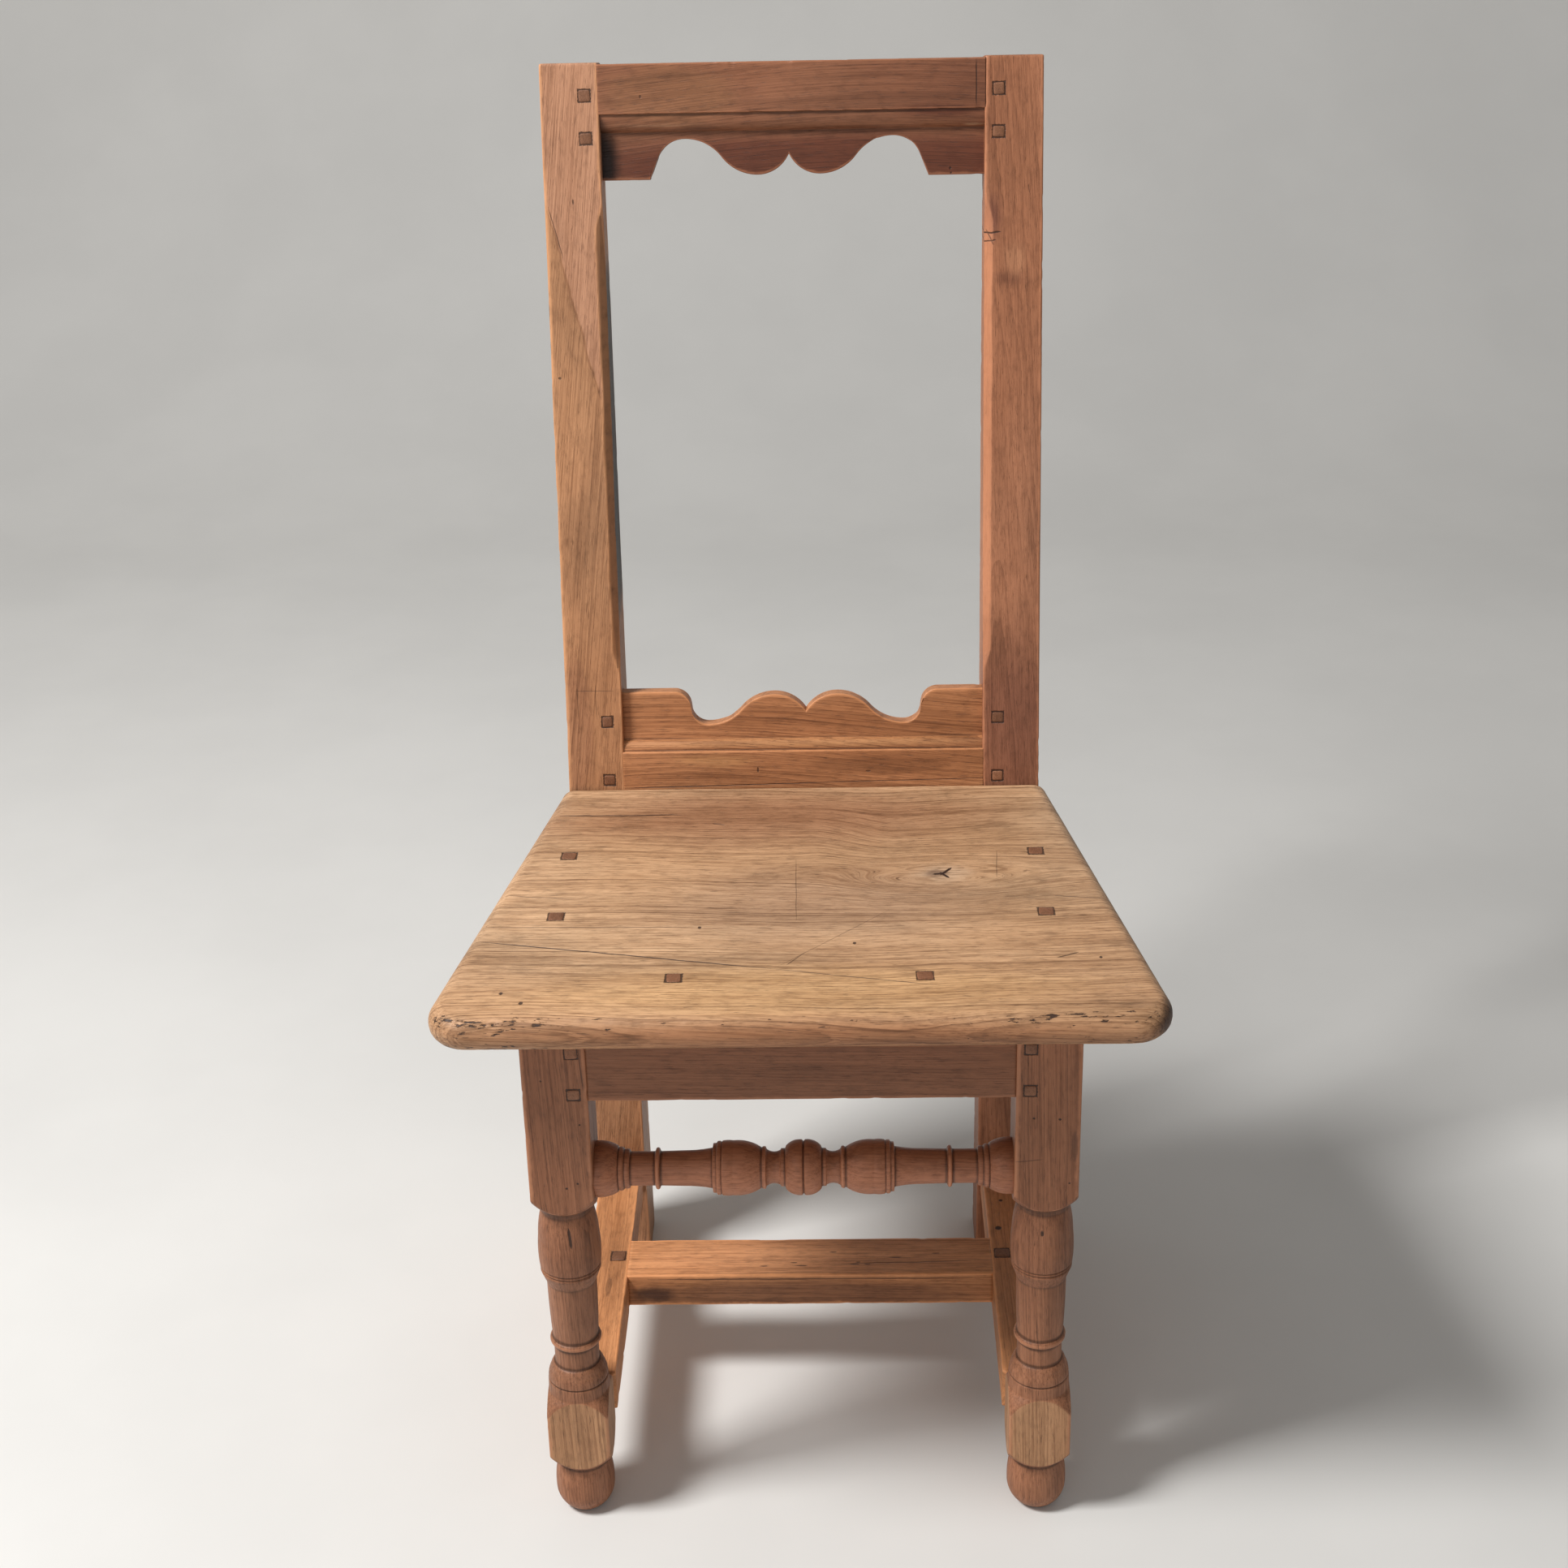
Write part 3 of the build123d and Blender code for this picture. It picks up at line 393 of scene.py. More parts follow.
def rounded_section(width, depth, radii, flats, arc_steps=4, side_steps=8):
    """Rectangle with rounded corners, for each row of a piece.

    Corners go round from (+,-). Each is a quarter circle of its own radius, drawn towards its
    chord by flats, and the sides between them have their points set closer near the corners.
    Returns the places across and out of each point, and how near it is to an edge.
    """
    turns = np.linspace(0, math.pi / 2, arc_steps + 1)
    steps = inner_steps(side_steps + 1)
    signs = ((1, -1), (1, 1), (-1, 1), (-1, -1))
    edge_reach = 2.5 * MM
    arcs = []
    for k, (sx, sy) in enumerate(signs):
        angle = turns + (k - 1) * math.pi / 2
        round_part = np.stack([np.cos(angle), np.sin(angle)], axis=-1)
        share = (turns / turns[-1])[:, None]
        chord = round_part[0] * (1 - share) + round_part[-1] * share
        blend = flats[:, k, None, None]
        unit = round_part * (1 - blend) + chord * blend
        radius = radii[:, k, None]
        centre_x = sx * (width / 2 - radii[:, k])
        centre_y = sy * (depth / 2 - radii[:, k])
        centre = np.stack([centre_x, centre_y], axis=-1)
        arcs.append(centre[:, None, :] + radius[..., None] * unit)
    parts, near = [], []
    for k in range(4):
        start, end = arcs[k][:, -1:], arcs[(k + 1) % 4][:, :1]
        side = start + (end - start) * steps[None, :, None]
        length = np.linalg.norm(end - start, axis=-1)
        gap = np.minimum(steps, 1 - steps)[None] * length
        parts += [arcs[k], side]
        near += [np.ones(arcs[k].shape[:2]), np.exp(-gap / edge_reach)]
    return np.concatenate(parts, axis=1), np.concatenate(near, axis=1)


def board(low, high, along, sizes, seed):
    """Board between two corners: a rounded rectangle carried along one axis, into its joints."""
    across, out = [axis for axis in range(3) if axis != along]
    length = high[along] - low[along] + 2 * board_overrun
    rows = max(int(length / (2.5 * MM)), 12)
    place = low[along] - board_overrun + length * np.linspace(0, 1, rows)
    route = np.zeros((rows, 3))
    route[:, along] = place
    radii = arris_radii(route, sizes, seed, 1.1, 0.7, 30 * MM)
    width = np.full(rows, high[across] - low[across])
    depth = np.full(rows, high[out] - low[out])
    section, edges = rounded_section(width, depth, radii, np.zeros((rows, 4)))
    centre = (low + high) / 2
    rings = np.zeros((*section.shape[:2], 3))
    rings[..., along] = place[:, None]
    rings[..., across] = centre[across] + section[..., 0]
    rings[..., out] = centre[out] + section[..., 1]
    fibre_across = section[..., 0] + board_pith[0]
    fibre_out = section[..., 1] + board_pith[1] + 0.02 * place[:, None]
    fibre = fibre_at(rings[..., along], fibre_across, fibre_out, seed)
    return with_hubs(wear_down(rings, edges, sizes, seed), fibre, edges)


# ------- shader helpers
def add_node(tree, kind, values=(), **settings):
    """Add a node, set its options, then link or set its inputs, by order or by key."""
    made = tree.nodes.new(kind)
    for key, value in settings.items():
        setattr(made, key, value)
    pairs = values.items() if isinstance(values, dict) else enumerate(values)
    for key, value in pairs:
        if isinstance(value, bpy.types.NodeSocket):
            tree.links.new(value, made.inputs[key])
        else:
            made.inputs[key].default_value = value
    return made


def calc(tree, operation, *values, clamp=False):
    """Result of a Math node."""
    made = add_node(tree, "ShaderNodeMath", values, operation=operation, use_clamp=clamp)
    return made.outputs[0]


def times(tree, first, second):
    """Product of two numbers."""
    return calc(tree, "MULTIPLY", first, second)


def vector_calc(tree, operation, *values):
    """Result of a Vector Math node, as a vector."""
    return add_node(tree, "ShaderNodeVectorMath", values, operation=operation).outputs[0]


def scaled(tree, vector, factor):
    """A vector times a number."""
    values = {0: vector, 3: factor}
    return add_node(tree, "ShaderNodeVectorMath", values, operation="SCALE").outputs[0]


def dot(tree, first, second):
    """Dot product of two vectors."""
    values = (first, second)
    return add_node(tree, "ShaderNodeVectorMath", values, operation="DOT_PRODUCT").outputs[1]


def ramp(tree, value, low, high, to_low=0.0, to_high=1.0):
    """Smooth Map Range."""
    values = (value, low, high, to_low, to_high)
    kind = "ShaderNodeMapRange"
    return add_node(tree, kind, values, interpolation_type="SMOOTHSTEP").outputs[0]


def mixed(tree, factor, first, second, mode="MIX"):
    """Result of a colour Mix node."""
    values = {0: factor, 6: first, 7: second}
    made = add_node(tree, "ShaderNodeMix", values, data_type="RGBA", blend_type=mode)
    return made.outputs[2]


def noise(tree, vector, scale, detail=3.0, roughness=0.55):
    """Value of a Noise texture on a vector."""
    values = {"Vector": vector, "Scale": scale, "Detail": detail, "Roughness": roughness}
    return add_node(tree, "ShaderNodeTexNoise", values).outputs["Fac"]


POSITION = ("Vector", "Position", (0, 0, 0))


def new_group(name, inputs, outputs):
    """Empty shader group: inputs are (kind, name, default), and outputs are names of numbers."""
    tree = bpy.data.node_groups.new(name, "ShaderNodeTree")
    for kind, label, default in inputs:
        socket = tree.interface.new_socket(label, in_out="INPUT", socket_type="NodeSocket" + kind)
        socket.default_value = default
    for label in outputs:
        tree.interface.new_socket(label, in_out="OUTPUT", socket_type="NodeSocketFloat")
    start = tree.nodes.new("NodeGroupInput")
    end = tree.nodes.new("NodeGroupOutput")
    return tree, start.outputs, end.inputs


def grain_group():
    """Growth rings, fibre streaks and dark ticks of flat-sawn fruitwood, on fibre coordinates.

    Rings lie round the pith, bent by noise at two sizes. Their spacing and strength differ from
    year to year.
    """
    tree, given, put = new_group(
        "Fruitwood Grain",
        (
            ("Vector", "Fibre", (0, 0, 0)),
            ("Float", "Ring Width", 3.2 * MM),
            ("Float", "Figure", 5 * MM),
        ),
        ("Rings", "Bands", "Streaks", "Ticks"),
    )
    fibre = given["Fibre"]
    slow = vector_calc(tree, "MULTIPLY", fibre, (5, 26, 26))
    warp = calc(tree, "SUBTRACT", noise(tree, slow, 1.0, 2.0, 0.5), 0.5)
    quick = vector_calc(tree, "MULTIPLY", fibre, (45, 190, 190))
    ripple = calc(tree, "SUBTRACT", noise(tree, quick, 1.0, 2.0, 0.5), 0.5)
    split = add_node(tree, "ShaderNodeSeparateXYZ", (fibre,)).outputs
    square = calc(tree, "ADD", times(tree, split[1], split[1]), times(tree, split[2], split[2]))
    radius = calc(tree, "MULTIPLY_ADD", warp, given["Figure"], calc(tree, "SQRT", square))
    radius = calc(tree, "MULTIPLY_ADD", ripple, 1.6 * MM, radius)
    years = calc(tree, "DIVIDE", radius, given["Ring Width"])
    slow_years = {"W": years, "Scale": 0.6}
    uneven = add_node(tree, "ShaderNodeTexNoise", slow_years, noise_dimensions="1D")
    years = calc(tree, "MULTIPLY_ADD", uneven.outputs["Fac"], 2.4, years)
    year = calc(tree, "FRACT", years)
    late = times(tree, calc(tree, "POWER", year, 3.2), ramp(tree, year, 1.0, 0.95))
    whole = calc(tree, "FLOOR", years)
    luck = add_node(tree, "ShaderNodeTexWhiteNoise", {"W": whole}, noise_dimensions="1D")
    strength = calc(tree, "MULTIPLY_ADD", luck.outputs["Value"], 0.8, 0.2)
    long_way = vector_calc(tree, "MULTIPLY", fibre, (13, 820, 820))
    streaks = noise(tree, long_way, 1.0, 4.0, 0.62)
    band_way = vector_calc(tree, "MULTIPLY", fibre, (5, 75, 75))
    bands = noise(tree, band_way, 1.0, 2.0, 0.5)
    short_way = vector_calc(tree, "MULTIPLY", fibre, (85, 1900, 1900))
    ticks = ramp(tree, noise(tree, short_way, 1.0, 2.0, 0.5), 0.62, 0.72)
    tree.links.new(times(tree, late, strength), put["Rings"])
    for label, value in (("Bands", bands), ("Streaks", streaks), ("Ticks", ticks)):
        tree.links.new(value, put[label])
    return tree


def patina_group():
    """Uneven old wax: broad clouds, a slow change of tone, small dark smears and a fine mottle."""
    tree, given, put = new_group(
        "Old Wax",
        (POSITION, ("Vector", "Stretch", (1, 1, 1))),
        ("Clouds", "Tone", "Smears", "Mottle"),
    )
    place = vector_calc(tree, "MULTIPLY", given["Position"], given["Stretch"])
    moved = vector_calc(tree, "ADD", place, (3.1, 1.7, 5.3))
    values = (
        noise(tree, place, 14.0, 3.0, 0.5),
        noise(tree, moved, 6.5, 2.0, 0.5),
        ramp(tree, noise(tree, place, 60.0, 5.0, 0.65), 0.52, 0.74),
        noise(tree, place, 230.0, 3.0, 0.6),
    )
    for label, value in zip(("Clouds", "Tone", "Smears", "Mottle"), values):
        tree.links.new(value, put[label])
    return tree


def edge_group():
    """Rubbed edges, lightened as wear and painted highlight, and hollows, darkened as dirt and
    painted shade: the two signs of the edge value, broken up by noise.
    """
    tree, given, put = new_group(
        "Rubbed Edge",
        (POSITION, ("Float", "Edge", 0.0)),
        ("Rubbed And Highlit", "Hollow Dirt And Shade"),
    )
    broken = noise(tree, given["Position"], 90.0, 4.0, 0.6)
    level = calc(tree, "MULTIPLY_ADD", given["Edge"], 0.7, times(tree, broken, 0.6))
    tree.links.new(ramp(tree, level, 0.62, 1.05), put["Rubbed And Highlit"])
    sunk = times(tree, given["Edge"], -1.0)
    depth = calc(tree, "MULTIPLY_ADD", broken, 0.5, calc(tree, "SUBTRACT", sunk, 0.25))
    filled = times(tree, ramp(tree, depth, 0.1, 0.7), ramp(tree, sunk, 0.02, 0.3))
    tree.links.new(filled, put["Hollow Dirt And Shade"])
    return tree


def line_group():
    """Crack, scratch or long patch: near a line between two points, thinner at its ends.

    The distance is measured after the position is flattened by a mask, so that a mark on a face
    doesn't fade where the face is worn down. The line is bent by a stray vector, times wander.
    """
    tree, given, put = new_group(
        "Line Mark",
        (
            POSITION,
            ("Vector", "Start", (0, 0, 0)),
            ("Vector", "End", (0, 0, 1)),
            ("Vector", "Flatten", (1, 1, 1)),
            ("Vector", "Stray", (0, 0, 0)),
            ("Float", "Width", 0.5 * MM),
            ("Float", "Wander", 2 * MM),
            ("Float", "Soft", 0.5),
        ),
        ("Mark",),
    )
    shift = scaled(tree, given["Stray"], given["Wander"])
    place = vector_calc(tree, "ADD", given["Position"], shift)
    flatten = given["Flatten"]
    reach = vector_calc(tree, "SUBTRACT", given["End"], given["Start"])
    reach = vector_calc(tree, "MULTIPLY", reach, flatten)
    gone = vector_calc(tree, "SUBTRACT", place, given["Start"])
    gone = vector_calc(tree, "MULTIPLY", gone, flatten)
    share = calc(tree, "DIVIDE", dot(tree, gone, reach), dot(tree, reach, reach), clamp=True)
    away = vector_calc(tree, "SUBTRACT", gone, scaled(tree, reach, share))
    distance = add_node(tree, "ShaderNodeVectorMath", (away,), operation="LENGTH").outputs[1]
    taper = times(tree, share, calc(tree, "SUBTRACT", 1.0, share))
    wide = times(tree, given["Width"], ramp(tree, taper, 0.0, 0.16, 0.25, 1.0))
    inner = calc(tree, "SUBTRACT", 1.0, given["Soft"])
    tree.links.new(ramp(tree, calc(tree, "DIVIDE", distance, wide), 1.0, inner), put["Mark"])
    return tree


def spot_group():
    """Spot, hole or stain: inside an ellipsoid whose outline is bent by noise."""
    tree, given, put = new_group(
        "Spot Mark",
        (
            POSITION,
            ("Vector", "Centre", (0, 0, 0)),
            ("Vector", "Size", (MM, MM, MM)),
            ("Float", "Ragged", 0.4),
            ("Float", "Soft", 0.4),
        ),
        ("Mark",),
    )
    offset = vector_calc(tree, "SUBTRACT", given["Position"], given["Centre"])
    place = vector_calc(tree, "DIVIDE", offset, given["Size"])
    distance = add_node(tree, "ShaderNodeVectorMath", (place,), operation="LENGTH").outputs[1]
    stray = calc(tree, "SUBTRACT", noise(tree, place, 1.6, 3.0, 0.6), 0.5)
    bent = calc(tree, "MULTIPLY_ADD", stray, given["Ragged"], distance)
    inner = calc(tree, "SUBTRACT", 1.0, given["Soft"])
    tree.links.new(ramp(tree, bent, 1.0, inner), put["Mark"])
    return tree


def seam_group():
    """Dark seams round a pair of pegs, one on each side: inside boxes a little larger."""
    tree, given, put = new_group(
        "Peg Seam",
        (
            POSITION,
            ("Vector", "Centre", (0, 0, 0)),
            ("Float", "Half", 5 * MM),
        ),
        ("Mark",),
    )
    split = add_node(tree, "ShaderNodeSeparateXYZ", (given["Position"],)).outputs
    sideways = calc(tree, "ABSOLUTE", split[0])
    folded = add_node(tree, "ShaderNodeCombineXYZ", (sideways, split[1], split[2])).outputs[0]
    offset = vector_calc(tree, "SUBTRACT", folded, given["Centre"])
    size = vector_calc(tree, "ABSOLUTE", offset)
    split = add_node(tree, "ShaderNodeSeparateXYZ", (size,)).outputs
    largest = calc(tree, "MAXIMUM", calc(tree, "MAXIMUM", split[0], split[1]), split[2])
    stray = noise(tree, given["Position"], 700.0, 2.0)
    bent = calc(tree, "MULTIPLY_ADD", stray, 1.6 * MM, largest)
    share = calc(tree, "DIVIDE", calc(tree, "SUBTRACT", bent, 0.8 * MM), given["Half"])
    tree.links.new(ramp(tree, share, 1.13, 1.0), put["Mark"])
    return tree


def pits_group():
    """Rotted pits and short splits along the grain: stretched noise, let through by a mask."""
    tree, given, put = new_group(
        "Rotted Pits",
        (POSITION, ("Float", "Mask", 0.0)),
        ("Mark",),
    )
    place = vector_calc(tree, "MULTIPLY", given["Position"], (0.28, 1.0, 1.4))
    coarse = noise(tree, place, 330.0, 4.0, 0.62)
    level = calc(tree, "MULTIPLY_ADD", given["Mask"], 0.24, coarse)
    tree.links.new(ramp(tree, level, 0.755, 0.81), put["Mark"])
    return tree


GROUPS = {
    "pits": pits_group,
    "grain": grain_group,
    "patina": patina_group,
    "edge": edge_group,
    "line": line_group,
    "spot": spot_group,
    "seam": seam_group,
}
built_groups = {}


def placed_group(tree, kind, values):
    """Outputs of a shared group placed in a material, built the first time it is asked for."""
    if kind not in built_groups:
        built_groups[kind] = GROUPS[kind]()
    return add_node(tree, "ShaderNodeGroup", values, node_tree=built_groups[kind]).outputs


def shade(colour, factor, warmth=1.0):
    """A colour made darker or lighter, with its green and blue brought down by warmth."""
    red, green, blue, _ = colour
    return (red * factor, green * factor / warmth**0.5, blue * factor / warmth, 1.0)


def darken(tree, under, amount, factor, warmth):
    """Multiply a colour by a shade of white, by amount."""
    return mixed(tree, amount, under, shade((1, 1, 1, 1), factor, warmth), "MULTIPLY")


def clouded_colour(tree, colour, wax, mask, bare):
    """Light and dark clouds of a colour, redder in parts, and bare wood where the mask is high."""
    clouds = ramp(tree, wax["Clouds"], 0.34, 0.66)
    base = mixed(tree, clouds, shade(colour, 0.82), shade(colour, 1.24))
    redder = times(tree, ramp(tree, wax["Tone"], 0.42, 0.62), 0.7)
    base = mixed(tree, redder, base, shade(colour, 0.92, 1.22))
    if bare is None:
        return base
    return mixed(tree, times(tree, mask, 0.75), base, bare)


def grained_colour(tree, base, grain, wax, rings, streaks, grime):
    """A colour darkened by bands, fibre streaks, growth rings, ticks, mottle and smears."""
    banded = times(tree, ramp(tree, grain["Bands"], 0.4, 0.66), streaks * 0.6)
    base = darken(tree, base, banded, 0.7, 1.2)
    streaked = times(tree, ramp(tree, grain["Streaks"], 0.44, 0.68), streaks)
    base = darken(tree, base, streaked, 0.6, 1.25)
    base = darken(tree, base, times(tree, grain["Rings"], rings), 0.4, 1.35)
    base = darken(tree, base, times(tree, grain["Ticks"], streaks), 0.4, 1.2)
    fine = times(tree, ramp(tree, wax["Mottle"], 0.46, 0.72), 0.5)
    base = darken(tree, base, fine, 0.62, 1.1)
    return darken(tree, base, times(tree, wax["Smears"], grime), 0.5, 1.1)


def finish_height(tree, grain, wax, dark):
    """Height of the finish: streaks and rings stand up, ticks and marks are sunk."""
    height = calc(tree, "MULTIPLY_ADD", grain["Rings"], 0.25, grain["Streaks"])
    height = calc(tree, "MULTIPLY_ADD", grain["Ticks"], -0.5, height)
    height = calc(tree, "MULTIPLY_ADD", wax["Mottle"], 0.5, height)
    return height if dark is None else calc(tree, "MULTIPLY_ADD", dark, -2.5, height)


def finish_roughness(tree, grain, wax, edge, gloss):
    """Roughness of the wax: duller along streaks and clouds, smoother on rubbed edges."""
    rough = calc(tree, "MULTIPLY_ADD", grain["Streaks"], 0.22, gloss - 0.08)
    rough = calc(tree, "MULTIPLY_ADD", edge["Rubbed And Highlit"], -0.06, rough)
    return calc(tree, "MULTIPLY_ADD", wax["Clouds"], 0.12, calc(tree, "SUBTRACT", rough, 0.06))


def wood_material(
    name,
    colour,
    marks=(),
    tints=(),
    ring_width=3.2 * MM,
    figure=5 * MM,
    rings=0.6,
    streaks=0.6,
    grime=0.35,
    gloss=0.46,
    stretch=(1, 1, 1),
    bare=None,
    sunk=0.85,
):
    """Waxed wood: rings and fibre over a cloudy base colour, then tints, grime and marks.

    A tint is (group, colour, strength, values), a mark is (group, strength, values) in the colour
    of the grime, bare is the colour of the wood where the mask attribute is high, and sunk is how
    dark its hollows are painted, as dirt and as painted shade.
    """
    dirt = tuple(bpy.context.scene.chair_colours.grime)
    material = bpy.data.materials.new(name)
    material.use_nodes = True
    tree = material.node_tree
    tree.nodes.clear()
    position = add_node(tree, "ShaderNodeTexCoord").outputs["Object"]
    fibre = add_node(tree, "ShaderNodeAttribute", attribute_name="fibre").outputs["Vector"]
    worn = add_node(tree, "ShaderNodeAttribute", attribute_name="edge").outputs["Fac"]
    mask = add_node(tree, "ShaderNodeAttribute", attribute_name="mask").outputs["Fac"]
    grain_values = {"Fibre": fibre, "Ring Width": ring_width, "Figure": figure}
    grain = placed_group(tree, "grain", grain_values)
    wax = placed_group(tree, "patina", {"Position": position, "Stretch": stretch})
    edge = placed_group(tree, "edge", {"Position": position, "Edge": worn})

    base = clouded_colour(tree, colour, wax, mask, bare)
    bend_values = {"Vector": position, "Scale": 60.0, "Detail": 3.0}
    bends = add_node(tree, "ShaderNodeTexNoise", bend_values).outputs["Color"]
    stray = vector_calc(tree, "SUBTRACT", bends, (0.5, 0.5, 0.5))
    shared = {"line": {"Stray": stray}, "pits": {"Mask": mask}}

    def spread(kind, values):
        """Where a mark group placed in this material shows."""
        values = {"Position": position, **shared.get(kind, {}), **values}
        return placed_group(tree, kind, values)["Mark"]

    for kind, tint, strength, values in tints:
        base = mixed(tree, times(tree, spread(kind, values), strength), base, tint)
    base = grained_colour(tree, base, grain, wax, rings, streaks, grime)
    # rubbed edges lightened as wear and painted highlight, hollows darkened as dirt and painted
    # shade
    rubbed = times(tree, edge["Rubbed And Highlit"], 0.55)
    base = mixed(tree, rubbed, base, shade(colour, 1.5, 1.05))
    base = darken(tree, base, times(tree, edge["Hollow Dirt And Shade"], sunk), 0.3, 1.2)
    dark = None
    for kind, strength, values in marks:
        mark = times(tree, spread(kind, values), strength)
        dark = mark if dark is None else calc(tree, "MAXIMUM", dark, mark)
    if dark is not None:
        base = mixed(tree, dark, base, shade(dirt, 0.7))
    height = finish_height(tree, grain, wax, dark)
    rough = finish_roughness(tree, grain, wax, edge, gloss)
    bump_values = {"Strength": 0.6, "Distance": 0.45 * MM, "Height": height}
    bump = add_node(tree, "ShaderNodeBump", bump_values).outputs[0]
    looks = {"Base Color": base, "Roughness": rough, "Specular IOR Level": 0.35, "Normal": bump}
    shader = add_node(tree, "ShaderNodeBsdfPrincipled", looks)
    output = add_node(tree, "ShaderNodeOutputMaterial")
    tree.links.new(shader.outputs[0], output.inputs["Surface"])
    return material


# ------- places on the chair
def slope_point(x, v, out=0.0):
    """World place of a point of the raked back, given across, up the slope and out of it."""
    x, v, out = np.broadcast_arrays(x, v, out)
    sideways = x[..., None] * np.array([1.0, 0, 0])
    return slope_origin + sideways + v[..., None] * slope_up + out[..., None] * slope_out


def on_slope(x, v, out=0.0):
    """Place on the raked back, from millimetres across, up the slope and out of it."""
    return slope_point(x * MM, v * MM, out * MM)


def on_crest(x, above_band, out=0.0):
    """Place on the crest rail, from millimetres across, above the foot of its band and out."""
    return slope_point(x * MM, crest_band_v + above_band * MM, out * MM)


def on_seat(x, y, below=0.0):
    """Place on the seat, from millimetres across, back from the legs' front and below the top."""
    return np.array([x * MM, leg_low[1] + y * MM, seat_top - below * MM])


# ------- back posts
def bent_line(height, bend, slope_low, slope_high):
    """Place that changes by slope_low under a bend and by slope_high over it.

    Within the reach of the bend the two lines are joined by a parabola.
    """
    away = height - bend
    reach = bend_reach
    arc = (np.clip(away, -reach, reach) + reach) ** 2 / (4 * reach) + np.maximum(away - reach, 0)
    return slope_low * away + (slope_high - slope_low) * arc


def post_faces(height):
    """Front and back of a post at each height: straight lines with a kick, a bend and the rake."""
    rise = chair_top - bend_height
    rake_run = rise * math.tan(back_rake)
    foot_slope = (post_depth - foot_kick - foot_depth) / kick_height
    back_slope = (rake_run + post_top_depth - post_depth) / rise
    front = bent_line(height, kick_height, -foot_kick / kick_height, 0)
    front += bent_line(height, bend_height, 0, math.tan(back_rake))
    back = post_depth + bent_line(height, kick_height, foot_slope, 0)
    back += bent_line(height, bend_height, 0, back_slope)
    return front, back


def chamfer_share(height):
    """How much of the inner front arris the stopped chamfer takes, from 0 to 1."""
    v = (height - bend_height) / math.cos(back_rake)
    start = low_rail_height + post_chamfer_margin
    end = crest_foot_v - post_chamfer_margin
    run_in = ease(v, start, start + post_chamfer_runout)
    return np.minimum(run_in, ease(v, end, end - post_chamfer_runout))


# for each side of the chair: (place of the pith across, lean of the grain) of its post
POST_GRAIN = {-1: (24 * MM, 0.11), 1: (10 * MM, 0.035)}
GRAIN_MIDDLE = 0.62  # height at which the lean of a post's grain is nought


def post_surface(side, sizes, seed):
    """Back post: level sections between its front and its back, with rounded arrises.

    The top is cut square to the rake, and both ends have a small round bevel.
    """
    height = np.linspace(0, chair_top, 430)
    ends = np.array([0.0, 0.3, 0.65]) * post_end_bevel
    height = np.unique(np.concatenate([height, ends, chair_top - ends]))
    front, back = post_faces(height)
    rise = chair_top - bend_height
    narrowing = post_top_narrowing * np.clip((height - bend_height) / rise, 0, 1)
    width = post_outer_x - post_inner_x - narrowing
    from_end = np.clip(np.minimum(height, chair_top - height) / post_end_bevel, 0, 1)
    inset = post_end_bevel * (1 - np.sqrt(from_end * (2 - from_end)))
    taken = chamfer_share(height)
    route = np.stack([np.full_like(height, side * 0.4), np.zeros_like(height), height], axis=-1)
    radii = arris_radii(route, sizes, seed, 1.3, 0.9, 35 * MM)
    radii[:, 3] += post_chamfer * taken
    flats = np.zeros((len(height), 4))
    flats[:, 3] = taken
    depth = back - front
    section, edges = rounded_section(width - 2 * inset, depth - 2 * inset, radii, flats, 5, 10)
    rings = np.zeros((*section.shape[:2], 3))
    rings[..., 0] = side * (post_inner_x + (width / 2)[:, None] + section[..., 0])
    rings[..., 1] = post_front_y + ((front + back) / 2)[:, None] + section[..., 1]
    rings[..., 2] = height[:, None]
    near_top = ease(height, chair_top - 80 * MM, chair_top)[:, None]
    behind = rings[..., 1] - rings[..., 1].min(axis=1, keepdims=True)
    rings[..., 2] -= near_top * behind * math.tan(back_rake)
    pith, lean = POST_GRAIN[side]
    across = section[..., 0] + pith + lean * (height[:, None] - GRAIN_MIDDLE)
    out = section[..., 1] + 16 * MM + 0.03 * height[:, None] * side
    fibre = fibre_at(rings[..., 2], across, out, seed)
    return with_hubs(wear_down(rings, edges, sizes, seed), fibre, edges)


# ------- scalloped rails
def level_arc(x, level, end):
    """Circle that is level at one point and passes through another."""
    (x0, y0), (x1, y1) = level, end
    drop = y1 - y0
    radius = ((x1 - x0) ** 2 + drop**2) / (2 * abs(drop))
    sag = radius - np.sqrt(np.maximum(radius**2 - (x - x0) ** 2, 0))
    return y0 + math.copysign(1, drop) * sag


def s_curve(x, start, end):
    """Two equal arcs, level at both ends, that meet half-way."""
    middle = ((start[0] + end[0]) / 2, (start[1] + end[1]) / 2)
    nearer = np.abs(x - start[0]) < np.abs(x - end[0])
    return np.where(nearer, level_arc(x, start, middle), level_arc(x, end, middle))


def crest_edge(x):
    """Scalloped foot of the crest rail: a notch in the middle, two lobes, two arches, flat ends.

    An arch's outer shoulder is part of a circle, then a straight line down to the flat.
    """
    x = np.abs(x - crest_shift)
    flat_x = post_inner_x - crest_flat
    lobe = (crest_lobe[0], crest_foot_v + crest_lobe[1])
    arch = (crest_arch[0], crest_foot_v + crest_arch[1])
    inner = level_arc(x, lobe, (0.0, crest_foot_v + crest_cusp_rise))
    middle = s_curve(x, lobe, arch)
    radius = crest_shoulder_radius
    round_end = arch[0] + radius * math.sin(crest_shoulder_turn)
    drop = radius - np.sqrt(np.maximum(radius**2 - (x - arch[0]) ** 2, 0))
    line_top = arch[1] - radius * (1 - math.cos(crest_shoulder_turn))
    straight_part = crest_foot_v + (line_top - crest_foot_v) * (flat_x - x) / (flat_x - round_end)
    spans = [x < lobe[0], x < arch[0], x < round_end, x < flat_x]
    return np.select(spans, [inner, middle, arch[1] - drop, straight_part], crest_foot_v)


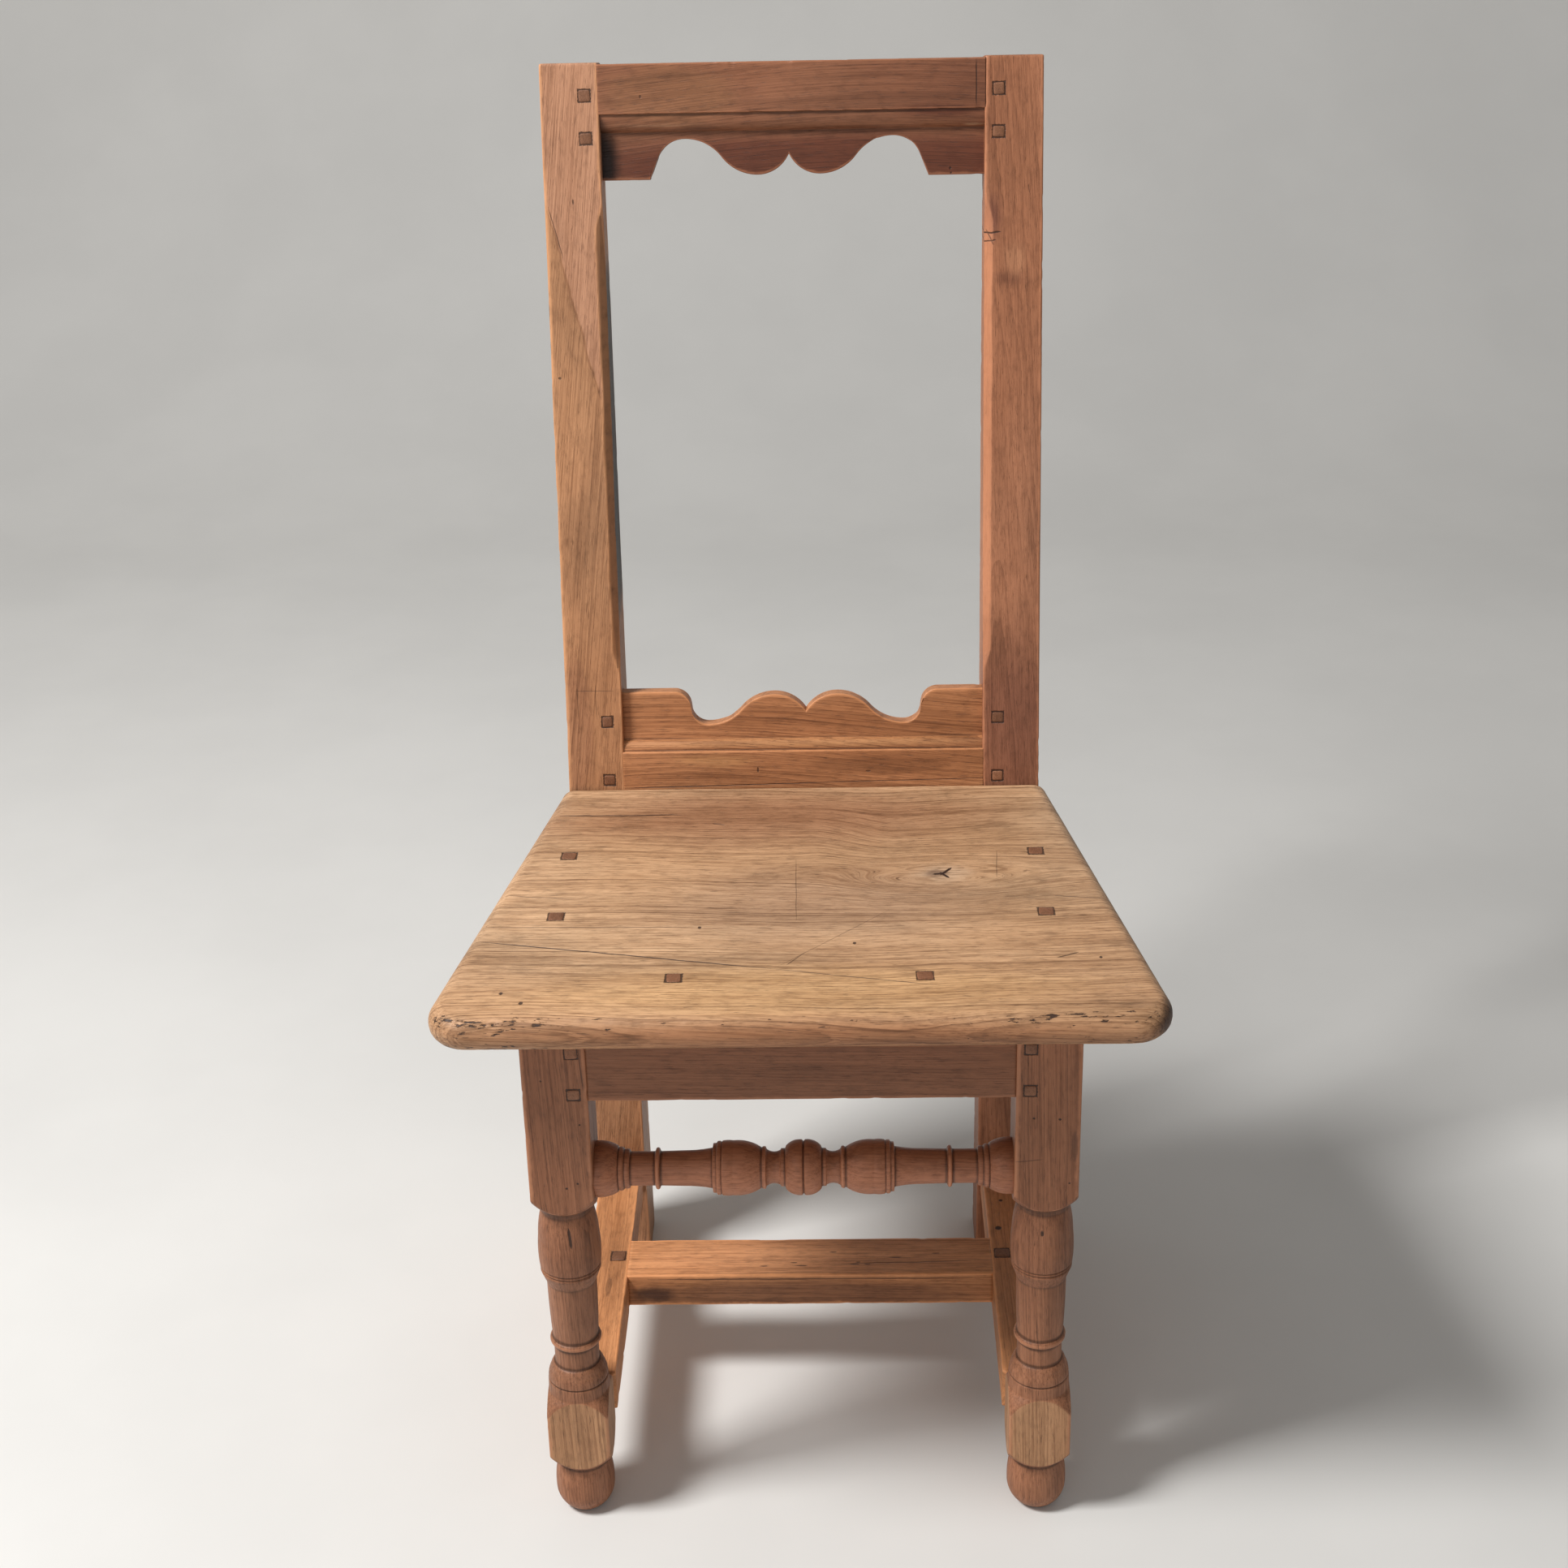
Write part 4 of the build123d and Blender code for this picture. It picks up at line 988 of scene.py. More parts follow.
def low_rail_edge(x):
    """Scalloped top of the lower back rail: a notch in the middle, lobes, troughs, flat ends."""
    x = np.abs(x - low_rail_shift)
    flat = (post_inner_x - low_rail_flat, low_rail_height)
    lobe = (low_rail_lobe[0], low_rail_height - low_rail_lobe[1])
    trough = (low_rail_trough[0], low_rail_height - low_rail_trough[1])
    inner = level_arc(x, lobe, (0.0, low_rail_height - low_rail_cusp_drop))
    spans = [x < lobe[0], x < trough[0], x < flat[0]]
    curves = [inner, s_curve(x, lobe, trough), s_curve(x, trough, flat)]
    return np.select(spans, curves, low_rail_height)


def rail_places(stop, shift):
    """Places across at which the section of a rail is drawn.

    They are set closer before the stop of the scallops, on both sides of their middle.
    """
    half = post_inner_x + back_rail_overrun
    steep = stop - 24 * MM * (1 - np.sin(np.linspace(0.9, math.pi / 2, 22)))
    special = np.concatenate([steep, [0.0, 0.3 * MM]])
    x = np.concatenate([np.linspace(-half, half, 381), shift + special, shift - special])
    return np.unique(np.round(x, 6))


def rail_section(edge, top, band, thin, thickness, recess, arris):
    """Section of a rail at each place across: places up and out, and how near an edge is.

    It goes round a band at full thickness, a step, a quarter-ellipse moulding and a thin board
    that ends at the edge line. Each section is fitted between the plain edge, top, and that line.
    """
    e, r = edge[:, None], arris
    quarter = np.linspace(0, math.pi / 2, 5)
    sine, cosine = np.sin(quarter), np.cos(quarter)
    step = recess / 5
    moulding = np.linspace(0, math.pi / 2, 9)[1:]
    moulded_up = band - (band - thin) * np.sin(moulding)
    moulded_out = -step - (recess - step) * (1 - np.cos(moulding))
    band_share, depth_share, back_share = (inner_steps(count) for count in (9, 5, 16))
    board_share = np.linspace(0.06, 1, 12)[:-1]
    stretches = [
        (top - r + r * cosine, -r + r * sine, 1),
        (top - r + (band - top + 2 * r) * band_share, 0 * band_share, 0),
        (band + r - r * sine, -r + r * cosine, 1),
        (np.array([band, band - 0.4 * MM]), np.array([-step, -step - 0.2 * MM]), -1),
        (moulded_up, moulded_out, 0),
        (thin + (e + r - thin) * 0.01, np.array([-recess]), -0.8),
        (thin + (e + r - thin) * board_share, -recess + 0 * board_share, 0),
        (e + r - r * sine, -recess - r + r * cosine, 1),
        (e + 0 * depth_share, -recess - r - (thickness - recess - 2 * r) * depth_share, 0.5),
        (e + r - r * cosine, -thickness + r - r * sine, 1),
        (e + r + (top - 2 * r - e) * back_share, -thickness + 0 * back_share, 0),
        (top - r + r * sine + 0 * e, -thickness + r - r * cosine, 1),
    ]
    columns = []
    for up, out, near in stretches:
        up = np.broadcast_to(up, (len(edge), np.shape(up)[-1]))
        columns.append((up, np.broadcast_to(out, up.shape), np.full(up.shape, float(near))))
    up, out, near = (np.concatenate(part, axis=1) for part in zip(*columns))
    near_edge = 0.7 * np.exp(-np.abs(up - e) / (3 * MM)) * (out < -recess / 2)
    return up, out, np.where(near < 0, near, np.maximum(near, near_edge))


def rail_surface(sizes, seed, edge_line, plain_v, band_v, thin_v, thickness, recess, stop, shift):
    """Scalloped rail: its section, from the plain edge to the scalloped one, carried across.

    Plain_v, band_v and thin_v are the places up the slope of the plain edge, of the step and of
    the end of the moulding. Stop is where the scallops end, and shift is their way off the middle.
    """
    x = rail_places(stop, shift)
    way = math.copysign(1, plain_v - band_v)
    top, band, thin = way * plain_v, way * band_v, way * thin_v
    edge = way * edge_line(x)
    up, out, edges = rail_section(edge, top, band, thin, thickness, recess, sizes.arris)
    rings = slope_point(x[:, None] + 0 * up, way * up, out)
    bow = 0.012 * np.sin(x[:, None] * 9 + seed)
    fibre = fibre_at(x[:, None] + 0 * up, up + bow, out + 22 * MM, seed)
    rings = wear_down(rings, edges, sizes, seed)
    hub_v, hub_out = way * (band + 4 * MM), -(recess + thickness) / 2
    first, last = (slope_point(np.array(end), hub_v, hub_out) for end in (x[0], x[-1]))
    return rings, first, last, fibre, edges


# ------- seat board
def seat_outline():
    """Plan of the seat: straight sides joined by arcs.

    Each corner's arc runs between the directions out of its two sides.
    """
    front_y, back_y = seat_low[1], seat_high[1]
    corners = np.array(
        [
            (seat_front_half, front_y),
            (seat_back_half, back_y),
            (-seat_back_half, back_y),
            (-seat_front_half, front_y),
        ]
    )
    radii = (seat_side_radius, seat_back_radius, seat_back_radius, seat_side_radius)
    sides = np.roll(corners, -1, axis=0) - corners
    ways = sides / np.linalg.norm(sides, axis=1, keepdims=True)
    outs = np.stack([ways[:, 1], -ways[:, 0]], axis=1)
    arcs = []
    for k in range(4):
        before, after = outs[k - 1], outs[k]
        start = math.atan2(before[1], before[0])
        turn = (math.atan2(after[1], after[0]) - start) % (2 * math.pi)
        steps = 8 if radii[k] == seat_back_radius else 30
        angle = start + turn * np.linspace(0, 1, steps + 1)
        out = np.stack([np.cos(angle), np.sin(angle)], axis=-1)
        bisector = (before + after) / (1 + before @ after)
        arcs.append(corners[k] - radii[k] * bisector + radii[k] * out)
    points = []
    for k in range(4):
        start, end = arcs[k][-1], arcs[(k + 1) % 4][0]
        count = int(np.linalg.norm(end - start) / (1.9 * MM))
        share = np.linspace(0, 1, count)[1:-1, None]
        points += [arcs[k], start + (end - start) * share]
    return np.concatenate(points)


def nose_drop(gap, radius):
    """How far a round nose has fallen, at a gap inside its edge."""
    return radius - np.sqrt(radius**2 - np.clip(radius - gap, 0, radius) ** 2)


def seat_gaps(plans):
    """Distance of each point inside the front and the sides of the seat, and inside its back."""
    right_front = np.array([seat_front_half, seat_low[1]])
    right_back = np.array([seat_back_half, seat_high[1]])
    way = (right_back - right_front) / np.linalg.norm(right_back - right_front)
    out = np.array([way[1], -way[0]])
    folded = np.stack([np.abs(plans[..., 0]), plans[..., 1]], axis=-1)
    side_gap = (right_front - folded) @ out
    front_gap = plans[..., 1] - seat_low[1]
    front_out = np.array([0.0, -1.0])
    corner_reach = seat_side_radius / (1 + out @ front_out)
    from_centre = folded - (right_front - corner_reach * (out + front_out))
    in_corner = (from_centre @ way < 0) & (from_centre[..., 0] > 0)
    corner_gap = seat_side_radius - np.linalg.norm(from_centre, axis=-1)
    gap = np.where(in_corner, corner_gap, np.minimum(side_gap, front_gap))
    return gap, seat_high[1] - plans[..., 1]


def seat_shares():
    """Shares of the way to the middle at which the plan is drawn: over the top, then below.

    They are set closer over the nose. The second result tells which of them are on top.
    """
    nose, middle = 0.075, 0.985
    nose_steps = nose * np.linspace(0, 1, 17) ** 1.7
    flat_steps = np.linspace(nose, middle, 36)[1:]
    top = np.concatenate([nose_steps, flat_steps])[::-1]
    under = np.concatenate([nose * np.linspace(0, 1, 9) ** 1.7, [0.2, 0.5, 0.9]])
    shares = np.concatenate([top, under])
    return shares, np.arange(len(shares)) < len(top)


def nose_wear(x, y, gap):
    """Where the nose is rotted: along its front, most at the left corner, then at the right."""
    front = ease(-y, 4 * MM, 30 * MM)
    corner = np.maximum(ease(-x, 0.12, 0.21), 0.8 * ease(x, 0.06, 0.2))
    return np.exp(-(((gap - 5 * MM) / (6 * MM)) ** 2)) * front * (0.45 + 0.55 * corner)


def seat_surface(sizes, seed):
    """Seat board: its plan shrunk towards the middle, lowered near the edge by a round nose.

    The back edge is left square, with a small arris of its own, and the top is sat hollow.
    """
    plan = seat_outline()
    centre = np.array([0.0, (seat_low[1] + seat_high[1]) / 2])
    shares, on_top = seat_shares()
    on_top = on_top[:, None]
    plans = centre + (plan - centre) * (1 - shares)[:, None, None]
    gap, back_gap = seat_gaps(plans)
    drop = np.maximum(nose_drop(gap, seat_nose), nose_drop(back_gap, seat_back_arris))
    heights = np.where(on_top, seat_top - drop, rail_top + drop)
    rings = np.concatenate([plans, heights[..., None]], axis=-1)
    near_nose = np.exp(-np.maximum(gap - 4 * MM, 0) / (6 * MM))
    edges = 0.3 * np.maximum(near_nose, np.exp(-back_gap / (2 * MM)))
    x, y = plans[..., 0], plans[..., 1] - leg_low[1]
    fibre = np.stack([x * 0.6, *seat_fibre(x, y, heights)], axis=-1)
    sat_hollow = 1.1 * MM * np.exp(-((x / 0.12) ** 2) - ((y - 0.16) / 0.11) ** 2)
    rings[..., 2] -= sat_hollow * on_top
    worn = nose_wear(x, y, gap)
    rings = wear_down(rings, edges, sizes, seed, 1.6 * MM * worn)
    return with_hubs(rings, fibre, edges), worn


def seat_fibre(x, y, heights):
    """Place across and out of the grain of the seat, which parts round the knot.

    The grain is pushed away on both sides of the knot, and steps down to it from the left.
    """
    gone_x, gone_y = x - seat_knot[0], y - seat_knot[1]
    swirl = np.exp(-((gone_x / (70 * MM)) ** 2) - (gone_y / (42 * MM)) ** 2)
    push = 30 * MM * swirl * np.tanh(gone_y / (11 * MM))
    step = 26 * MM * ease(x, 5 * MM, 75 * MM) * np.exp(-((gone_y - 45 * MM) / (60 * MM)) ** 2)
    wave = 3.5 * MM * np.sin(x * 13 + 1.0) + 1.2 * MM * np.sin(x * 37 + y * 20)
    across = y + wave - push + step + 0.36
    return across, heights - seat_top + 0.05 * x + 24 * MM


# ------- turnings
def straight(start, end, steps):
    """Points along a straight stretch of a turning's outline."""
    share = np.linspace(0, 1, steps + 1)[:, None]
    return np.array(start) + (np.array(end) - np.array(start)) * share


def bulge(start, end, rise, steps):
    """Arc between two points of an outline that rises by a given height over its chord.

    The rise is to the side of growing radius, and below nought for a hollow.
    """
    start, end = np.array(start, float), np.array(end, float)
    chord = end - start
    length = np.hypot(*chord)
    radius = (length**2 / 4 + rise**2) / (2 * abs(rise))
    share = np.linspace(-1, 1, steps + 1)
    span = share * length / 2
    lift = np.sqrt(radius**2 - span**2) - (radius - abs(rise))
    normal = np.array([chord[1], -chord[0]]) / length
    risen = math.copysign(1, rise) * normal * lift[:, None]
    return start + chord * (share[:, None] + 1) / 2 + risen


def scored(radius, place, depth, width):
    """Narrow V cut round a turning."""
    middle = (radius - depth, place + width / 2)
    return np.array([(radius, place), middle, (radius, place + width)])


def leg_outline():
    """Outline of a front leg, as (radius, height) in millimetres, from the floor up."""
    return np.concatenate(
        [
            bulge((12.5, 0), (22.2, 18), 2.6, 12),
            bulge((22.2, 18), (19.5, 43), 0.9, 10),
            straight((19.3, 43.2), (22.9, 47.3), 4),
            bulge((22.9, 47.3), (32.6, 60.5), 0.8, 18),
            straight((32.6, 60.5), (32.6, 93), 12),
            bulge((32.6, 93), (22.9, 109), 0.9, 20),
            straight((22.9, 109), (22.5, 117.6), 5),
            scored(22.5, 118.2, 1.1, 1.8),
            bulge((22.3, 120), (20.2, 128), 0.5, 6),
            bulge((20.2, 128), (17.8, 133), 0.4, 4),
            straight((17.6, 133.2), (16.6, 133.6), 2),
            straight((16.6, 134.2), (16.5, 149.5), 8),
            bulge((16.9, 150.8), (17.2, 156.6), 2.1, 9),
            bulge((17.0, 157.2), (18.2, 206), 0.35, 22),
            straight((18.2, 206), (22.1, 216.6), 7),
            scored(22.1, 217.2, 0.9, 1.5),
            scored(22.3, 219.8, 0.9, 1.5),
            bulge((22.4, 221.6), (22.2, 246), 0.7, 12),
            bulge((22.2, 246), (18.9, 269), 0.7, 10),
            straight((18.9, 269), (19.2, 272), 2),
            # a shallow hollow under the upper block: its negative edge value darkens it as painted
            # shade
            bulge((19.2, 272), (22.9, 276), -0.5, 5),
            bulge((22.9, 276), (32.6, 290), 0.8, 20),
            straight((32.6, 290), (32.6, rail_top / MM - 0.6), 52),
            straight((32.2, rail_top / MM - 0.3), (31.6, rail_top / MM), 2),
        ]
    )


def squared_circle(count, power):
    """Angles and radii of a square with soft corners, one unit from its middle to its sides.

    The radius is one over the high-power mean of the cosine and the sine. The angles are set
    closer near the four corners.
    """
    even = np.linspace(0, 2 * math.pi, count, endpoint=False)
    angle = even + 0.62 / 4 * np.sin(4 * even)
    mean = (np.abs(np.cos(angle)) ** power + np.abs(np.sin(angle)) ** power) ** (1 / power)
    return angle, mean


def resampled(outline, step):
    """The same outline with its points at even steps along it."""
    length = np.concatenate([[0], np.cumsum(np.hypot(*np.diff(outline, axis=0).T))])
    even = np.linspace(0, length[-1], int(length[-1] / step))
    return np.stack([np.interp(even, length, column) for column in outline.T], axis=-1)


def proud_parts(radius, widest, reach):
    """How far each place of an outline stands over the mean of its neighbours, from -1 to 1."""
    capped = np.minimum(radius, widest)
    padded = np.pad(capped, reach, mode="edge")
    mean = np.convolve(padded, np.ones(2 * reach + 1) / (2 * reach + 1), mode="valid")
    return np.clip((capped - mean) / (0.8 * MM), -1, 1)


def leg_surface(side, sizes, seed):
    """Front leg: the smooth least of a turned radius and of a square with soft corners.

    Returns the surface, and where it is a flat face of the lower block.
    """
    outline = resampled(leg_outline() * MM, 0.8 * MM)
    angle, mean = squared_circle(128, 26.0)
    square = leg_half / mean
    radius, height = outline[:, :1], outline[:, 1:]
    blend = 0.22 * MM
    least = -blend * np.logaddexp(-radius / blend, -square[None] / blend)
    axis_x = side * (leg_low[0] + leg_high[0]) / 2
    axis_y = (leg_low[1] + leg_high[1]) / 2
    x, y = axis_x + least * np.cos(angle), axis_y + least * np.sin(angle)
    rings = np.stack([x, y, height + 0 * least], axis=-1)
    flat = ease(radius - square[None], 0.0, 0.5 * MM)
    corner = ease(square[None] + 0 * radius, leg_half * 1.24, leg_half * 1.37)
    shoulder = np.exp(-np.abs(radius - square[None]) / (0.9 * MM)) * (radius > leg_half * 1.01)
    turned = proud_parts(outline[:, 0], leg_half * 1.02, 5)[:, None] * (1 - flat)
    edges = np.clip(np.maximum(flat * corner, 0.7 * shoulder) + turned, -1, 1)
    across = x - axis_x + 26 * MM * side + 0.03 * rings[..., 2]
    fibre = fibre_at(rings[..., 2], across, y - axis_y + 20 * MM, seed)
    rings = wear_down(rings, edges, sizes, seed)
    first = np.array([axis_x, axis_y, 0.0])
    last = np.array([axis_x, axis_y, rail_top])
    return (rings, first, last, fibre, edges), flat * (height < between_blocks)


def turned_half_outline():
    """Outline of half the turned stretcher, as (radius, distance from the middle) in mm."""
    return np.concatenate(
        [
            straight((18.4, 0), (19.7, 0.9), 1),
            bulge((19.75, 1.0), (15.4, 12.6), 1.5, 14),
            straight((13.6, 13.2), (13.5, 16.2), 3),
            bulge((12.6, 16.4), (13.2, 26.3), -1.6, 10),
            bulge((14.6, 26.6), (14.6, 29.4), 0.5, 5),
            bulge((14.2, 29.7), (19.3, 50), 1.9, 18),
            bulge((19.3, 50), (19.2, 57.6), 0.35, 6),
            straight((18.3, 58.3), (19.0, 58.9), 1),
            straight((19.0, 61.2), (17.6, 61.9), 2),
            straight((17.5, 64.3), (14.2, 64.8), 2),
            bulge((14.3, 65), (12.6, 84), -0.45, 10),
            straight((12.6, 84), (12.2, 101.6), 6),
            bulge((13.2, 102.0), (13.2, 105.5), 1.7, 8),
            straight((12.2, 105.8), (12.2, 123.4), 6),
            bulge((13.6, 123.6), (13.9, 127.6), 0.5, 5),
            bulge((14.8, 128.0), (15.4, 131.4), 0.5, 5),
            straight((14.9, 131.7), (16.2, 132.0), 1),
            bulge((16.4, 132.2), (20.0, 148.9), 1.5, 14),
        ]
    )


def turned_stretcher_surface(sizes, seed):
    """Turned front stretcher: its half outline and the mirror of it, spun round a level axis."""
    half = turned_half_outline() * MM
    outline = resampled(np.concatenate([half[::-1] * [1, -1], half[1:]]), 0.6 * MM)
    angle = np.linspace(0, 2 * math.pi, 84, endpoint=False)
    axis_y = (turned_low[1] + turned_high[1]) / 2
    axis_z = (turned_low[2] + turned_high[2]) / 2
    radius = outline[:, :1]
    x = outline[:, 1:] + 0 * angle
    y, z = axis_y + radius * np.cos(angle), axis_z + radius * np.sin(angle)
    rings = np.stack([x, y, z], axis=-1)
    relief = proud_parts(outline[:, 0], 1.0, 5)
    worn = 0.5 * ease(outline[:, 0], 13 * MM, 19.5 * MM)
    edges = np.where(relief < -0.1, relief, np.maximum(relief, worn))[:, None] + 0 * angle
    fibre = fibre_at(x, y - axis_y + 9 * MM + 0.05 * x, z - axis_z + 14 * MM, seed)
    rings = wear_down(rings, 0.5 * edges, sizes, seed)
    first = np.array([outline[0, 1], axis_y, axis_z])
    last = np.array([outline[-1, 1], axis_y, axis_z])
    return rings, first, last, fibre, edges


# ------- pegs
# outline of a peg head: shares of its half width, and heights over the wood in millimetres
PEG_SHARES = np.array([1.0, 1.0, 0.99, 0.95, 0.88, 0.76, 0.6, 0.4, 0.2])
PEG_HEIGHTS = np.array([-3.0, -0.4, -0.05, 0.16, 0.3, 0.4, 0.46, 0.5, 0.5])


def peg_surface(centre, up, out, half, sizes, seed):
    """Square peg head: squares with soft corners, drawn in over a low dome, turned a little."""
    random = np.random.default_rng(seed)
    turn = random.uniform(-1, 1) * sizes.peg_turn
    stretch = random.uniform(0.9, 1.06, 2)
    across = np.cross(up, out)
    angle, mean = squared_circle(40, 7)
    share, height = PEG_SHARES[:, None], PEG_HEIGHTS[:, None] * MM
    size = half * share / mean
    x = stretch[0] * size * np.cos(angle)
    y = stretch[1] * size * np.sin(angle)
    a = x * math.cos(turn) - y * math.sin(turn)
    b = x * math.sin(turn) + y * math.cos(turn)
    tilt = (a * random.uniform(-1, 1) + b * random.uniform(-1, 1)) * 0.05
    lift = height + tilt * (height > -1 * MM)
    rings = centre + a[..., None] * across + b[..., None] * up + lift[..., None] * out
    fibre = fibre_at(lift * 0.3, a * 1.3 + 9 * MM, b * 1.3 + 6 * MM, seed)
    return with_hubs(rings, fibre, ease(share, 0.6, 0.9) * 0.5 + 0 * angle)


def node_corners(node):
    """Corners of the mesh of a node of the frame."""
    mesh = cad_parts[node].data
    flat = np.empty(len(mesh.vertices) * 3, dtype=np.float32)
    mesh.vertices.foreach_get("co", flat)
    return flat.reshape(-1, 3).astype(float)


def peg_heads(corners, count, out):
    """Middle of the outer face of each of some pegs, from the corners of their meshes.

    The corners are grouped by the nearest of count places that lie farthest apart.
    """
    level = corners - (corners @ out)[:, None] * out
    seeds = [level[0]]
    for _ in range(count - 1):
        away = np.min([np.linalg.norm(level - seed, axis=1) for seed in seeds], axis=0)
        seeds.append(level[np.argmax(away)])
    nearest = np.argmin([np.linalg.norm(level - seed, axis=1) for seed in seeds], axis=0)
    heads = []
    for k in range(count):
        group = corners[nearest == k]
        head = group[group @ out > (group @ out).max() - 2 * MM]
        centre = (head.min(axis=0) + head.max(axis=0)) / 2
        centre += ((head @ out).max() - 0.6 * MM - centre @ out) * out
        heads.append(centre)
    return heads


# groups of pegs: (node, their directions out of the wood, how many in each, half their width)
PEG_ROWS = (
    ("crest_rail_pegs", (slope_out,), 4, 4.2 * MM),
    ("back_rail_pegs", (slope_out,), 4, 4.2 * MM),
    ("front_rail_pegs", (TO_FRONT,), 4, 4.2 * MM),
    ("rear_rail_pegs", (TO_FRONT,), 4, 4.0 * MM),
    ("seat_pegs", (UPWARDS,), 6, 5.4 * MM),
    ("cross_stretcher_pegs", (UPWARDS,), 2, 5.6 * MM),
    ("side_rail_front_pegs", TO_BOTH_SIDES, 2, 4.0 * MM),
    ("side_rail_rear_pegs", TO_BOTH_SIDES, 2, 4.0 * MM),
    ("side_stretcher_front_pegs", TO_BOTH_SIDES, 1, 4.0 * MM),
    ("side_stretcher_rear_pegs", TO_BOTH_SIDES, 1, 4.0 * MM),
)


def all_peg_heads():
    """Every peg of the chair, by node: (middle of its head, its direction out, half its width).

    Pegs that are driven in from both sides of the chair are looked for side by side.
    """
    found = {}
    for node, ways, count, half in PEG_ROWS:
        found[node] = []
        for out in ways:
            corners = node_corners(node)
            if len(ways) > 1:
                corners = corners[corners @ out > 0]
            found[node] += [(centre, out, half) for centre in peg_heads(corners, count, out)]
    return found


peg_list = all_peg_heads()


def peg_seams(*nodes):
    """Seam marks round the pegs of some nodes: one mark for the pair on the two sides."""
    return [
        ("seam", 0.9, {"Centre": tuple(centre), "Half": half + 0.45 * MM})
        for node in nodes
        for centre, _, half in peg_list[node]
        if centre[0] > 0
    ]


ON_LEVEL = (1, 1, 0)  # masks that flatten a line mark onto the seat or onto the front
ON_FRONT = (1, 0, 1)


def line(start, end, width, wander=1.5, strength=0.9, flatten=ON_FRONT, soft=0.6):
    """Line mark between two places, with its sizes in millimetres."""
    values = {"Start": tuple(start), "End": tuple(end), "Flatten": flatten}
    sizes = {"Width": width * MM, "Wander": wander * MM, "Soft": soft}
    return ("line", strength, {**values, **sizes})


def spot(centre, size, strength=0.9, ragged=0.5, soft=0.4):
    """Spot mark at a place, with its half sizes in millimetres."""
    values = {"Centre": tuple(centre), "Size": tuple(np.array(size) * MM)}
    return ("spot", strength, {**values, "Ragged": ragged, "Soft": soft})


def coloured(mark, colour, strength):
    """Tint of another colour where a mark would show."""
    kind, _, values = mark
    return (kind, colour, strength, values)


def cloud(colour, strength, centre, size, ragged=0.5, soft=0.4):
    """Spot of another colour at a place, with its half sizes in millimetres."""
    return coloured(spot(centre, size, ragged=ragged, soft=soft), colour, strength)


# ------- operators
# what differs between the woods of the two posts
POST_LOOKS = {
    "left": {"ring_width": 2.3 * MM, "figure": 5 * MM, "rings": 0.7, "streaks": 0.7},
    "right": {"ring_width": 5.0 * MM, "figure": 16 * MM, "rings": 0.55, "streaks": 0.55},
}


class MakeBackPosts(bpy.types.Operator):
    """Make the two raked back posts"""

    bl_idname = "chair.make_back_posts"
    bl_label = "Back posts"

    def execute(self, context):
        sizes, colours = context.scene.chair_sizes, context.scene.chair_colours
        tones = {"left": tuple(colours.left_post), "right": tuple(colours.right_post_wood_and_shade)}
        marks = {"left": left_post_marks(), "right": right_post_marks()}
        tints = {"left": left_post_tints(), "right": right_post_tints()}
        for word, side in SIDES:
            pegs = peg_seams(
                "crest_rail_pegs",
                "back_rail_pegs",
                "rear_rail_pegs",
                "side_rail_rear_pegs",
            )
            material = wood_material(
                word + " post wood",
                tones[word],
                marks=pegs + marks[word],
                tints=tints[word],
                stretch=(1, 1, 0.4),
                **POST_LOOKS[word],
            )
            node = word + "_back_post"
            surface = post_surface(side, sizes, sizes.seed + side)
            make_piece(word + "_post", [surface], material, [node])
        return {"FINISHED"}


def left_post_marks():
    """Scribed lines by the tenon of the lower back rail, a split at the sapwood, and knocks."""
    return [
        line(on_slope(-184, 470), on_slope(-174, 430), 0.45, 1.5, 0.6),
        line(on_slope(-181, 93), on_slope(-149, 93), 0.3, 0.5, 0.5),
        spot(on_slope(-165, 473), (0.8, 3, 2.2), 0.7, 0.6),
        spot(on_slope(-180.7, 341), (1.4, 3, 1.2), 0.7, 0.6),
        spot(on_slope(-187.5, 395), (1.6, 2.5, 14), 0.6, 0.8),
        spot(on_slope(-187.5, 366), (1.4, 2.5, 9), 0.55, 0.8),
        line(on_slope(-178, 98), on_slope(-178, 70), 0.35, 0.9, 0.5),
        line(on_slope(-163.5, 98), on_slope(-163.5, 70), 0.35, 0.9, 0.5),
    ]


def along_slope(start, end, width, strength, colour, soft):
    """Tint beside a slanting line on the raked back, on the side of growing x.

    The tint is a long capsule whose edge lies on the line from start to end, in millimetres.
    """
    start, end = np.array(start, float), np.array(end, float)
    way = (end - start) / np.linalg.norm(end - start)
    side = np.array([-way[1], way[0]]) * width
    middle, half = (start + end) / 2 + side, 3 * (end - start)
    first, last = on_slope(*(middle - half)), on_slope(*(middle + half))
    return coloured(line(first, last, width, 5.0, soft=soft), colour, strength)


def left_post_tints():
    """Pinker heartwood over honey sapwood, on a slanting border, and painted shade on the chamfer.
    """
    border = ((-187, 474.7), (-150.3, 324))
    edge = line(*(on_slope(*place) for place in border), 1.3, 5.0, soft=0.9)
    chamfer_x = -post_inner_x / MM - 2.2
    # painted shade: a dark strip along the chamfer of the inner arris, which faces away from the
    # light
    painted_chamfer_shade = line(on_slope(chamfer_x, 112), on_slope(chamfer_x, 462), 3.3, 0.6, soft=0.4)
    return [
        along_slope(*border, 60.0, 0.8, paint(196, 144, 113), 0.03),
        coloured(edge, paint(138, 90, 62), 0.45),
        cloud(paint(160, 108, 78), 0.5, on_slope(-180, 60), (16, 40, 70)),
        coloured(painted_chamfer_shade, paint(34, 20, 15), 1.0),
    ]


